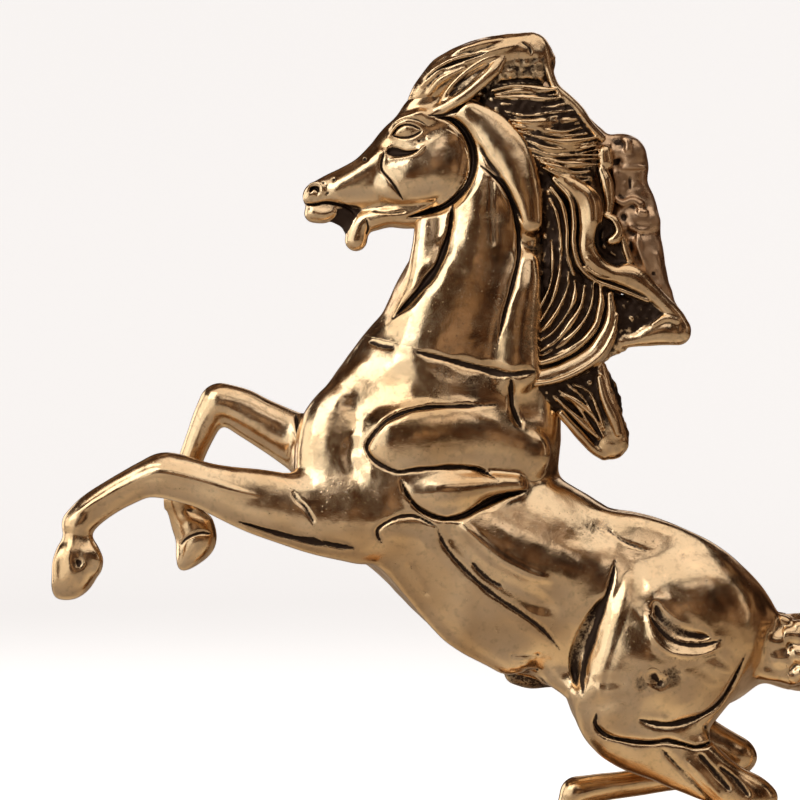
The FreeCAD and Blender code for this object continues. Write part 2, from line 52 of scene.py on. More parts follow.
# Lengths are in millimetres until a mesh is made. The horse faces -X, its near side faces -Y.
MM = 0.001
NEAR, FAR, MIDDLE, BOTH = "near", "far", "middle", "both"
SIDES = {NEAR: (-1,), FAR: (1,), MIDDLE: (0,), BOTH: (-1, 1)}
COARSE = 1.0
OUTSIDE = 30.0  # the distance that an empty grid holds
WHOLE_WIDTH = 60  # more than the horse's reach to either side
HALO = 2.6  # a mark fades out at this many times its half width

# ----------------------------------------------------------------------------------------------------
# Clay: a signed distance field on a grid, pressed out of tapered ovals and then carved
# ----------------------------------------------------------------------------------------------------


def smooth_line(points, step):
    """Catmull-Rom through the points, in every column, with a point about every step millimetres."""
    points = np.array(points, float)
    padded = np.vstack([2 * points[0] - points[1], points, 2 * points[-1] - points[-2]])
    line = []
    for i in range(1, len(points)):
        a, b, c, d = padded[i - 1 : i + 3]
        pieces = max(2, int(math.hypot(*(c - b)[:2]) / step))
        for t in np.arange(pieces) / pieces:
            line.append(
                0.5
                * (2 * b + (c - a) * t + (2 * a - 5 * b + 4 * c - d) * t**2 + (3 * b - a - 3 * c + d) * t**3)
            )
    line.append(points[-1])
    return np.array(line)


def rail(line, x, z):
    """Over a plane of (x, z): how far each point is from the tapered line, as a share of the line's own
    half width there, with the line's other columns, the run along it (0 to 1) and the offset across it."""
    shape = np.broadcast(x, z).shape
    share = np.full(shape, 1e9, np.float32)
    values = np.zeros((line.shape[1] - 2, *shape), np.float32)
    run = np.zeros(shape, np.float32)
    across = np.zeros(shape, np.float32)
    for i in range(len(line) - 1):
        a, b = line[i], line[i + 1]
        along = b[:2] - a[:2]
        length = math.hypot(*along) + 1e-9
        px, pz = x - a[0], z - a[1]
        t = np.clip((px * along[0] + pz * along[1]) / length**2, 0, 1)
        dx, dz = px - t * along[0], pz - t * along[1]
        half = a[2] + t * (b[2] - a[2])
        new = (dx * dx + dz * dz) / (half * half)
        better = new < share
        share = np.where(better, new, share)
        run = np.where(better, (i + t) / (len(line) - 1), run)
        side = np.sign(along[0] * pz - along[1] * px)
        across = np.where(better, side * np.sqrt(new), across)
        for k in range(len(values)):
            values[k] = np.where(better, a[2 + k] + t * (b[2 + k] - a[2 + k]), values[k])
    return np.sqrt(share), values, run, across


def fade(value, start, end):
    """Rises smoothly from 0 at start to 1 at end; start may be the larger."""
    t = np.clip((value - start) / (end - start), 0, 1)
    return t * t * (3 - 2 * t)


def box_blur(values, axis, reach):
    """The mean of each cell and its neighbours, up to reach cells away along one axis."""
    total = np.cumsum(values, axis=axis, dtype=np.float64)
    count = values.shape[axis]
    index = np.arange(count)
    along = [-1 if k == axis else 1 for k in range(3)]
    last = np.minimum(index + reach, count - 1)
    before = index - reach - 1
    low = np.take(total, np.maximum(before, 0), axis=axis)
    low = np.where((before < 0).reshape(along), 0, low)
    span = last - np.maximum(before, -1)
    return ((np.take(total, last, axis=axis) - low) / span.reshape(along)).astype(np.float32)


class Clay:
    """A grid of distances to the surface, negative inside, and of darkness: patina, with some painted shade
    and painted dark reflection.
    """

    def __init__(self, low, high, voxel):
        self.voxel = voxel * COARSE
        self.low = np.array(low, float)
        count = np.ceil((np.array(high, float) - self.low) / self.voxel).astype(int) + 1
        self.field = np.full(count, OUTSIDE, np.float32)
        self.dark = np.zeros(count, np.float32)
        self.darkened = False

    def whole(self):
        return self.low, self.low + self.voxel * np.array(self.field.shape)

    def window(self, low, high):
        """Slices of the grid that cover a box, and the coordinates along each; None where they miss."""
        first = np.floor((np.array(low) - self.low) / self.voxel).astype(int)
        last = np.ceil((np.array(high) - self.low) / self.voxel).astype(int) + 1
        first = np.maximum(first, 0)
        last = np.minimum(last, self.field.shape)
        if np.any(last <= first):
            return None
        cuts = tuple(slice(a, b) for a, b in zip(first, last))
        x, y, z = (
            (self.low[k] + self.voxel * np.arange(first[k], last[k])).astype(np.float32) for k in range(3)
        )
        return cuts, x[:, None, None], y[None, :, None], z[None, None, :]

    def press(self, stations, side, blend, strands=0, groove=0.0, twist=0.0, dark=0.0):
        """Adds a form. A station without its last number lies in the middle. strands is the number of locks
        across the form, groove the depth between them and twist how far they swing from side to side."""
        stations = [(*station, 0)[:5] for station in stations]
        line = smooth_line(stations, max(1.0, 0.25 * min(station[2] for station in stations)))
        line[:, 2:4] = np.maximum(line[:, 2:4], 0.3)
        room = line[:, 2] + blend + 2 * self.voxel
        middle = line[:, 4] * side
        deep = line[:, 3] + blend + 2 * self.voxel
        low = [(line[:, 0] - room).min(), (middle - deep).min(), (line[:, 1] - room).min()]
        high = [(line[:, 0] + room).max(), (middle + deep).max(), (line[:, 1] + room).max()]
        found = self.window(low, high)
        if found is None:
            return
        cuts, x, y, z = found
        share, (half, width, away), run, across = rail(line, x[:, 0], z[0])
        share, half, width, away = (v[:, None, :] for v in (share, half, width, away * side))
        dy = y - away
        outer = np.sqrt(share**2 + (dy / width) ** 2)
        slope = np.sqrt((share / half) ** 2 + (dy / width**2) ** 2) + 1e-4
        new = np.maximum(outer * (outer - 1) / slope, -np.minimum(half, width))
        field = self.field[cuts]
        # darkness given with the form: patina, and painted shade for the sheet behind the gap in the S-lock
        stain_and_shade = np.float32(dark)
        if strands:
            swing = twist * np.sin(6.3 * run[:, None, :])
            phase = (across[:, None, :] + swing) * strands * math.pi / 2
            valley = (1 - np.abs(np.sin(phase + 0.9))) ** 1.6 * fade(run, 0.0, 0.06)[:, None, :]
            new = new + groove * valley * np.clip(1 - np.abs(new) / 3, 0, 1)
            stain_and_shade = np.maximum(valley * 0.95, stain_and_shade)
        if self.darkened or strands or dark:
            self.darkened = True
            mine = (new < field) & (np.abs(new) < 2)
            np.copyto(self.dark[cuts], stain_and_shade + 0 * new, where=mine)
        near = np.maximum(blend - np.abs(field - new), 0) / blend
        self.field[cuts] = np.minimum(field, new) - near * near * blend * 0.25

    def carve(self, path, width, depth, dark, side, taper=True, reach=0.0):
        """Cuts a groove along a path, or raises a ridge where depth is negative. The path's points can carry
        their own half width. side -1 marks the near face, 1 the far one, 0 both."""
        line = smooth_line([(*point, width)[:3] for point in path], 0.8)
        if taper:
            ends = np.sin(np.linspace(0.12, math.pi - 0.12, len(line))) ** 0.45
            uneven = 1 + (0.2 if width < 2 else 0.0) * np.sin(0.45 * np.arange(len(line)) + path[0][0])
            line[:, 2] *= ends * uneven
        line[:, 2] = np.maximum(line[:, 2], 0.2)
        room = line[:, 2].max() * HALO + self.voxel
        low = [line[:, 0].min() - room, -WHOLE_WIDTH, line[:, 1].min() - room]
        high = [line[:, 0].max() + room, WHOLE_WIDTH, line[:, 1].max() + room]
        found = self.window(low, high)
        if found is None:
            return
        cuts, x, y, z = found
        share, _, run, _ = rail(line, x[:, 0], z[0])
        core = np.clip(1 - share**2, 0, 1) ** 1.5
        profile = 0.6 * core + 0.4 * np.clip(1 - (share / HALO) ** 2, 0, 1) ** 2
        # darkness along the mark: patina in grooves, with painted shade and painted dark reflection in some
        # marks
        stain_and_shade = np.maximum(fade(share, 1.2, 0.35), 0.42 * fade(share, 2.7, 0.9))
        if taper:
            length = np.hypot(*np.diff(line[:, :2], axis=0).T).sum()
            ease = min(0.5, max(0.12, 1.3 * width / length))
            ending = fade(run, -0.03, ease) * fade(1 - run, -0.03, ease)
            profile = profile * ending
            stain_and_shade = stain_and_shade * (ending if width >= 2 else 1)
        facing = fade(y * side, reach, reach + 2.5) if side else np.ones_like(y)
        self.field[cuts] += (depth * profile)[:, None, :] * facing
        if dark:
            self.dark[cuts] = np.maximum(self.dark[cuts], (dark * stain_and_shade)[:, None, :] * facing)

    def strands(self, paths, side, fill, blend=0.5, deep=2.2):
        """Lays locks, each a little uneven, along paths of (x, z, half width, y from middle). fill adds a
        thin one between neighbours."""
        paths = [np.array(path, float) for path in paths]
        between = [(a + b) / 2 - (0, 0, 0.3, 0.7) for a, b in zip(paths, paths[1:]) if fill]
        for k, path in enumerate(between + paths):
            last = len(path) - 1
            lock = []
            for i, (x, z, half, away) in enumerate(path):
                at_end = i in (0, last)
                own = half * (0.4 if at_end else 0.95 + 0.5 * math.sin(2.3 * k + 1.7 * i))
                away = away - 0.2 + 0.7 * math.sin(1.9 * k + 2.6 * i)
                x = x + 0.45 * math.sin(1.7 * k + 1.3 * i)
                z = z + 0.5 * math.sin(1.3 * k + 2.1 * i)
                lock.append((x, z, own, deep * (0.8 if at_end else 1.0), away))
            self.press(lock, side, blend)

    def ripple(self, wavelength, amount, seed, box=None):
        """Unevens the surface, with waves of about one length in several directions."""
        found = self.window(*(box or self.whole()))
        if found is None:
            return
        cuts, x, y, z = found
        total = 0
        for k in range(6):
            turn = seed * 1.7 + k * 1.047
            rate = 2 * math.pi / (wavelength * (0.75 + 0.12 * ((seed * 3 + k * 5) % 6)))
            flat = np.sin(rate * (x * math.cos(turn) + z * math.sin(turn)) + seed + 2.4 * k)
            total = total + flat * np.sin(0.8 * rate * y + 1.3 * k + seed)
        self.field[cuts] += amount * total / 2.4

    def soften(self, reach, times=1):
        """Rounds off the creases between forms, by about reach millimetres."""
        cells = max(1, round(reach / self.voxel))
        self.field = np.clip(self.field, -14, 4)
        for _ in range(times):
            for axis in range(3):
                self.field = box_blur(self.field, axis, cells)

    def cut(self, region):
        """Keeps only what lies where region(x, y, z) is negative."""
        _, x, y, z = self.window(*self.whole())
        np.maximum(self.field, region(x, y, z), out=self.field)

    def sample(self, values, points):
        """Values between the grid's own points."""
        places = np.clip((points - self.low) / self.voxel, 0, np.array(values.shape) - 1.001)
        cells = places.astype(int)
        rest = places - cells
        total = 0
        for corner in np.ndindex(2, 2, 2):
            weight = np.prod(np.where(corner, rest, 1 - rest), axis=1)
            total = total + weight * values[tuple((cells + corner).T)]
        return total

    def slope(self, points):
        """How steeply the field rises along x, y and z."""
        step = 0.6 * self.voxel
        sides = []
        for k in range(3):
            shift = np.zeros(3)
            shift[k] = step
            sides.append(self.sample(self.field, points + shift) - self.sample(self.field, points - shift))
        return np.stack(sides, 1) / (2 * step)

    def mesh(self, name):
        """A closed mesh of the surface, with a value at each point for patina and painted shade: darker in
        marks and hollows, rubbed bright on the crests."""
        for k in range(3):
            edge = [slice(None)] * 3
            for end in (0, -1):
                edge[k] = end
                self.field[tuple(edge)] = np.maximum(self.field[tuple(edge)], self.voxel)
        band = 3 * self.voxel
        grid = openvdb.FloatGrid(band)
        grid.copyFromArray(np.clip(self.field, -band, band))
        points, quads = grid.convertToQuads(0.0)
        points = points.astype(float) * self.voxel + self.low
        for _ in range(2):  # draws the points on to the surface
            slope = self.slope(points)
            size = np.sum(slope**2, 1) + 0.05
            move = -self.sample(self.field, points)[:, None] * slope / size[:, None]
            points += np.clip(move, -0.4 * self.voxel, 0.4 * self.voxel)
        blurred = self.field
        for k in range(3):
            blurred = box_blur(blurred, k, max(1, round(1.2 / self.voxel)))
        relief = self.sample(self.field - blurred, points)
        hollow = np.clip(relief / 0.28, 0, 1)
        crest = np.clip(-relief / 0.3 - 0.1, 0, 1)
        patina_and_shade = np.clip(self.sample(self.dark, points), 0, 1)
        patina_and_shade = (1 - (1 - patina_and_shade) * (1 - 0.85 * hollow)) * (1 - 0.75 * crest)
        return build_mesh(name, points, quads, patina_and_shade)


def build_mesh(name, points, quads, patina_and_shade):
    data = bpy.data.meshes.new(name)
    data.vertices.add(len(points))
    data.vertices.foreach_set("co", (points * MM).astype(np.float32).ravel())
    quads = np.asarray(quads, np.int32)[:, ::-1]
    data.loops.add(quads.size)
    data.loops.foreach_set("vertex_index", quads.ravel())
    data.polygons.add(len(quads))
    data.polygons.foreach_set("loop_start", np.arange(0, quads.size, 4, dtype=np.int32))
    data.polygons.foreach_set("use_smooth", np.ones(len(quads), bool))
    data.update(calc_edges=True)
    attribute = data.attributes.new("patina_and_shade", "FLOAT", "POINT")
    attribute.data.foreach_set("value", patina_and_shade.astype(np.float32))
    made = bpy.data.objects.new(name, data)
    bpy.context.scene.collection.objects.link(made)
    return made


# ----------------------------------------------------------------------------------------------------
# The horse's forms: (side, blend, stations), each station (x, z, half depth, half width), with the
# distance of y from the middle where it isn't 0
# ----------------------------------------------------------------------------------------------------


def placed(away, forms):
    """The forms, with the stations that name no distance from the middle at this one."""
    return [(side, blend, [(*station, away)[:5] for station in path]) for side, blend, path in forms]


BODY = [
    (MIDDLE, 1, [
        (-96, 180, 22.5, 19), (-88, 172, 25, 23), (-72, 162, 28, 25), (-45, 145, 34.2, 24.5),
        (-18, 132, 32, 22.5), (4, 125, 31.5, 22.5), (15, 122, 30, 21.5), (23, 119.5, 26.5, 20),
    ]),
    (MIDDLE, 7, [
        (-76, 174, 32, 18), (-70, 190, 39, 18.5), (-60.8, 212, 33, 17.4), (-56.8, 228, 29.4, 16.2),
    ]),
    (MIDDLE, 4, [(-42.4, 180, 15.8, 12), (-40.8, 192, 15, 11), (-43, 204, 13, 10)]),
    (BOTH, 4, [
        (18, 124, 25, 13, 13), (9, 116, 27, 15, 14), (3, 105.4, 25.6, 14, 15),
        (0.6, 97.4, 22.8, 11.4, 15.5), (1.6, 92, 19.4, 10, 15.4),
    ]),
    (BOTH, 5, [(-66, 196, 17, 8, 13.5), (-76, 184, 20, 9, 15), (-88, 168, 17, 9, 15)]),
    (BOTH, 6, [
        (-84, 188, 7.5, 4.5, 20), (-70, 189, 9.5, 5, 20.4), (-54, 187, 9, 4.6, 18.6),
        (-38, 183, 8, 4, 13.5),
    ]),
    (BOTH, 3, [
        (-77, 169.6, 4, 4, 22.4), (-65, 170, 5.8, 4.8, 23), (-52, 171.4, 4, 4, 21.4),
        (-42, 172, 3, 3, 18.4),
    ]),
    (BOTH, 7, [
        (-96.4, 202.4, 10.4, 7.5, 6), (-105, 191, 11.8, 8.6, 8), (-106.4, 178, 11.8, 9, 10),
        (-104, 167, 11, 8.6, 12),
    ]),
    (BOTH, 5, [
        (-64, 157, 6, 5, 17.8), (-52, 152, 9, 6, 18.4), (-38, 146, 9, 6, 17.8), (-24, 142, 8, 5.5, 16.6),
    ]),
    (BOTH, 4, [
        (-86, 155, 8, 6, 13), (-73, 140.4, 10.2, 6.5, 13), (-59.4, 126.2, 11.2, 6.5, 12.5),
        (-44.4, 115.8, 9.9, 6, 12),
    ]),
    (BOTH, 4, [(-98, 160, 10, 7, 15.5), (-86, 159, 8, 6.5, 18), (-79, 157, 5, 5, 18.6)]),
    (BOTH, 5, [
        (-28, 162.2, 7.4, 5, 4), (-14, 157, 6.2, 5, 7), (-1, 153, 9, 6, 9), (13, 148.6, 9, 6, 9),
        (25, 141.6, 9, 6, 9), (35, 133, 8.2, 6, 8), (42, 125, 7, 6, 6),
    ]),
    (BOTH, 4, [(-27, 105.6, 5, 5, 9), (-20, 101, 5.6, 5, 11), (-16, 95, 5.4, 5, 13)]),
    (BOTH, 4, [(26.4, 105.4, 10.2, 8, 9), (23, 99.4, 9, 7.5, 12), (20.8, 94.4, 7.4, 6.4, 14)]),
]
SHEATH = [(-42, 105.5, 4, 4.5), (-36, 104.5, 4.6, 5), (-29, 106, 5, 4.5)]
NEAR_ARM = placed(15, [
    (NEAR, 5, [
        (-96, 157.6, 13.2, 8, 14.5), (-108, 160.6, 13.5, 8.4), (-118, 162.8, 12.8, 8),
        (-130, 165.8, 11.5, 7), (-141, 168.7, 9.6, 6.3), (-151, 172, 8.2, 5.8), (-159.6, 174.6, 8.2, 6.1),
        (-164.4, 175.2, 7.8, 6),
    ]),
])
NEAR_FORE = NEAR_ARM + placed(15, [
    (NEAR, 2, [
        (-163.4, 175.8, 6.9, 5.4), (-169.6, 174.2, 6.5, 5.2), (-175.6, 171.3, 6.1, 4.8),
        (-183.6, 166.8, 5.8, 4.4), (-189.4, 162.7, 5.8, 4.6), (-193.6, 158.4, 5.8, 4.9),
    ]),
    (NEAR, 1.5, [(-193.6, 158, 5.2, 4.7), (-194, 154.2, 4.6, 4.4), (-193.8, 151, 5, 4.8)]),
    (NEAR, 1.2, [
        (-193.7, 150.8, 6, 5.4), (-193.4, 146.6, 8, 6.8), (-194.2, 142.4, 7.6, 7.2),
        (-196.4, 138.4, 6.2, 6.6), (-199.4, 135.2, 3.2, 5),
    ]),
    (NEAR, 0.8, [
        (-199.4, 150.8, 1.2, 3, 16.4), (-200.8, 145.6, 1.4, 4, 17.4), (-201.2, 137, 1.4, 4, 17.2),
    ]),
    (NEAR, 0.8, [(-189, 149.6, 2.6, 4, 16.8), (-186.8, 146.4, 2.4, 4, 17), (-187.4, 143, 2.6, 4, 16.4)]),
    (NEAR, 0.8, [(-196, 150.4, 1.4, 3, 18.4), (-195.4, 148, 1.6, 3, 19), (-197, 145.6, 1.2, 3, 19)]),
    (NEAR, 0.8, [(-191, 149.4, 1.2, 3, 18.6), (-190, 146.6, 1.4, 3, 18.8), (-191, 142.4, 1.6, 3, 18.8)]),
])
FAR_ARM = placed(14, [
    (FAR, 5, [
        (-100, 176, 11, 8, 13), (-112, 182.6, 10.4, 7.6, 13.5), (-122, 188.4, 9.4, 7),
        (-132, 193.8, 8.4, 6.4), (-139, 197.8, 8, 6), (-145.4, 200.6, 6.8, 5.6),
    ]),
])
FAR_FORE = FAR_ARM + placed(14, [
    (FAR, 2, [
        (-147, 200, 6.4, 5.6), (-150.8, 193.5, 5.4, 4.7), (-154.8, 184, 4.7, 4.2), (-158.4, 174, 4.7, 4.2),
        (-160.6, 166.5, 5.3, 4.6),
    ]),
    (FAR, 1.5, [(-160.6, 166, 5.1, 4.5), (-159, 161, 5.2, 4.4), (-156.8, 157.5, 6.6, 5.2)]),
    (FAR, 1.2, [
        (-155, 155.8, 7.4, 5.6), (-154.4, 151.6, 7.4, 6.2), (-156.8, 146.6, 5, 5.6),
        (-159, 142.8, 2.4, 4.2),
    ]),
])
NEAR_THIGH = placed(16, [
    (NEAR, 4, [
        (-1, 95, 18.6, 9.4, 14.5), (5.4, 87.2, 15.2, 9, 15.4), (13.6, 79.4, 12.2, 8, 15.8),
        (22.6, 72.8, 9.6, 6.6), (31, 67.8, 8.2, 5.8), (38.4, 64.6, 7.8, 5.4),
    ]),
])
NEAR_HIND = NEAR_THIGH + placed(16, [
    (NEAR, 2, [
        (40.5, 63.2, 6.6, 5), (37, 57.5, 6.4, 4.8), (32, 50.5, 5.4, 4.3), (26, 42, 4.8, 4),
        (20, 34, 4.8, 4), (15.2, 28.4, 5.8, 4.7),
    ]),
    (NEAR, 2, [(37, 67, 4.8, 4.4), (44.4, 64, 4, 3.4)]),
    (NEAR, 1.5, [(15.2, 28.4, 5, 4.5), (10.5, 23.6, 4.9, 4.4), (7.5, 21, 5.8, 5.2)]),
    (NEAR, 1, [(6.5, 19.4, 6.6, 6.2), (3.2, 16, 7.4, 7.2), (0.5, 13.2, 7.4, 7.4)]),
])
FAR_THIGH = placed(16, [
    (FAR, 4, [
        (2, 96, 15.5, 9, 14.5), (6, 90.5, 12.4, 8.4, 15), (16, 85.6, 9.4, 7), (28, 80.2, 7.1, 5.8),
        (36.6, 76, 6.4, 5.2),
    ]),
])
FAR_HIND = FAR_THIGH + placed(16, [
    (FAR, 2, [
        (38.6, 74.6, 6, 4.8), (33.4, 70.2, 5.3, 4.6), (24, 68.2, 4.7, 4.2), (12, 66.8, 4.5, 4.1),
        (0, 65.2, 4.8, 4.2), (-11, 63.8, 5.2, 4.5), (-19.6, 61.8, 5.8, 4.9),
    ]),
    (FAR, 1.5, [(-19.5, 62, 5.4, 4.7), (-22.6, 56, 4.7, 4.4), (-23.6, 52, 6, 5.4)]),
    (FAR, 1, [(-23.8, 49.6, 6.4, 6), (-25, 45, 7, 6.6), (-28, 40.6, 4.6, 5.4), (-30.4, 36.8, 2.6, 3.8)]),
])
NECK_CORE = [
    (MIDDLE, 5, [
        (-66, 200, 36.6, 18), (-59.4, 214, 32.4, 17.4), (-56.4, 229, 28.6, 16), (-53.2, 245, 25.6, 14.4),
        (-51.6, 261, 22.8, 12.8), (-51, 277, 18.6, 11), (-53, 289, 14.2, 9.6), (-58, 297, 11, 8.6),
    ]),
]
NECK = NECK_CORE + [
    (BOTH, 2.5, [
        (-58, 301, 5.2, 3.4, 7.4), (-50.6, 294.6, 7.6, 4.4, 8), (-43.6, 284.6, 8.4, 4.8, 9.2),
        (-39.2, 273, 7, 4.6, 10.8), (-36.6, 263, 4.6, 3.8, 11.8),
    ]),
    (BOTH, 3, [
        (-56, 284, 4.4, 3.8, 7.2), (-53.6, 272, 8.4, 5, 8.2), (-54.2, 258, 10.6, 5.6, 9.4),
        (-59, 242, 13.6, 6, 10.8), (-65, 226, 16, 6, 12), (-69, 210, 17, 6, 13),
    ]),
    (BOTH, 3, [
        (-72.4, 264, 4.8, 4.2, 4.4), (-73.2, 252, 5.4, 5, 6), (-76.8, 239, 4.4, 5, 7.4),
        (-82.4, 228, 3.6, 4.4, 8),
    ]),
    (BOTH, 4, [
        (-38, 248, 5, 4, 11), (-38.6, 240, 6.4, 4.6, 12.4), (-41, 226, 7, 5, 13.8), (-42, 212, 8, 5, 15),
    ]),
]
SKULL = [
    (MIDDLE, 3, [
        (-61, 293, 13.5, 9.4), (-68, 289.4, 16.6, 9.8), (-75.4, 286, 16.2, 9.6), (-83, 282, 13, 8.6),
        (-91.4, 278, 9.9, 7.2), (-99, 275.8, 7.8, 6.4), (-106, 274.2, 6.1, 5.8), (-111.4, 272.6, 5, 5.4),
    ]),
    (BOTH, 1.2, [(-71, 282.4, 11.9, 5.2, 6), (-78.5, 279, 9.2, 5, 5.6), (-84.5, 276.6, 6.6, 4.2, 5)]),
]
FACE = [
    (BOTH, 2, [(-63, 301, 5, 4.6, 4), (-72, 299.5, 4.4, 4.4, 4.8), (-79.8, 296.6, 3.2, 3.6, 5.2)]),
    (BOTH, 1.2, [
        (-85, 296, 0.9, 1.4, 5.4), (-82.6, 298.4, 1.3, 2, 6.2), (-78.6, 299.8, 1.4, 2.2, 7),
        (-74.8, 300.8, 1.4, 2.2, 7.6), (-72.4, 298.8, 1.1, 1.8, 8),
    ]),
    (BOTH, 2, [(-86, 287.6, 2.4, 1.8, 6), (-95.4, 279.8, 3, 2, 4.8), (-104, 274.6, 2.8, 2, 4.4)]),
    (BOTH, 1.2, [(-108.4, 276.4, 2, 1.8, 3.8), (-112.6, 274.6, 2.3, 2, 3.9), (-114.4, 271.6, 2, 1.8, 3.6)]),
    (MIDDLE, 1, [(-112.4, 266.6, 3.4, 4.8), (-109, 266.2, 3.2, 4.6), (-106.4, 267, 2.6, 4)]),
    (MIDDLE, 2, [
        (-74, 267, 5.6, 6.6), (-80, 266.2, 5, 6), (-86, 265.8, 4.2, 5.4), (-91.2, 264.6, 4.2, 4.6),
        (-95, 263.2, 4, 4), (-96.8, 260.2, 3.8, 3.8), (-97.6, 257.2, 4, 3.7),
    ]),
    (BOTH, 2, [(-80.6, 298.2, 3.2, 3.4, 2.2), (-77.8, 302.4, 3.8, 3.8, 2.6), (-72, 306.6, 5, 4.2, 3)]),
]
EYE = [
    (BOTH, 0.8, [(-82.2, 294.4, 2, 2, 6.2), (-79.4, 295.2, 2.1, 2, 6.6)]),
    (BOTH, 0.4, [
        (-85.8, 293.2, 0.6, 0.9, 6.2), (-83.6, 296.4, 0.8, 1.2, 6.8), (-79.6, 297.8, 0.8, 1.3, 7.4),
        (-76, 296.6, 0.8, 1.2, 7.8), (-73.4, 294.8, 0.5, 0.9, 8.2),
    ]),
    (BOTH, 0.4, [
        (-85.4, 292.8, 0.5, 0.8, 6.4), (-81.4, 291.6, 0.7, 1.1, 7.2), (-77.4, 292.4, 0.7, 1.1, 7.8),
        (-73.8, 294.4, 0.5, 0.8, 8.2),
    ]),
]
MOUTH = [(-107, 267, 3, 2.4), (-103, 266.2, 3.8, 2.4), (-99.4, 264.8, 4.6, 2.4), (-98.4, 261, 3.4, 2.4)]
EARS = [
    (BOTH, 1, [
        (-69, 301.8, 2, 2.2, 6.6), (-63, 304.8, 2.6, 2.6, 8.4), (-56, 309.8, 3, 2.8, 9.4),
        (-50.4, 315, 2.8, 2.4, 9.6), (-46.4, 319.8, 1.3, 1.2, 9.2),
    ]),
    (BOTH, 1, [
        (-67.8, 303.4, 1, 1.8, 6), (-66, 308, 1.3, 2, 7.2), (-61.6, 313, 1.5, 2.2, 8),
        (-55.6, 317.6, 1.6, 2.2, 8.4), (-50, 320.4, 1.5, 1.8, 8.8), (-46.2, 321.2, 0.9, 1, 9),
    ]),
    (BOTH, 1, [(-65, 305.8, 2.8, 2.4, 6.6), (-59, 311.4, 4.2, 2.4, 7.4), (-52, 316.8, 2.8, 2, 8)]),
]

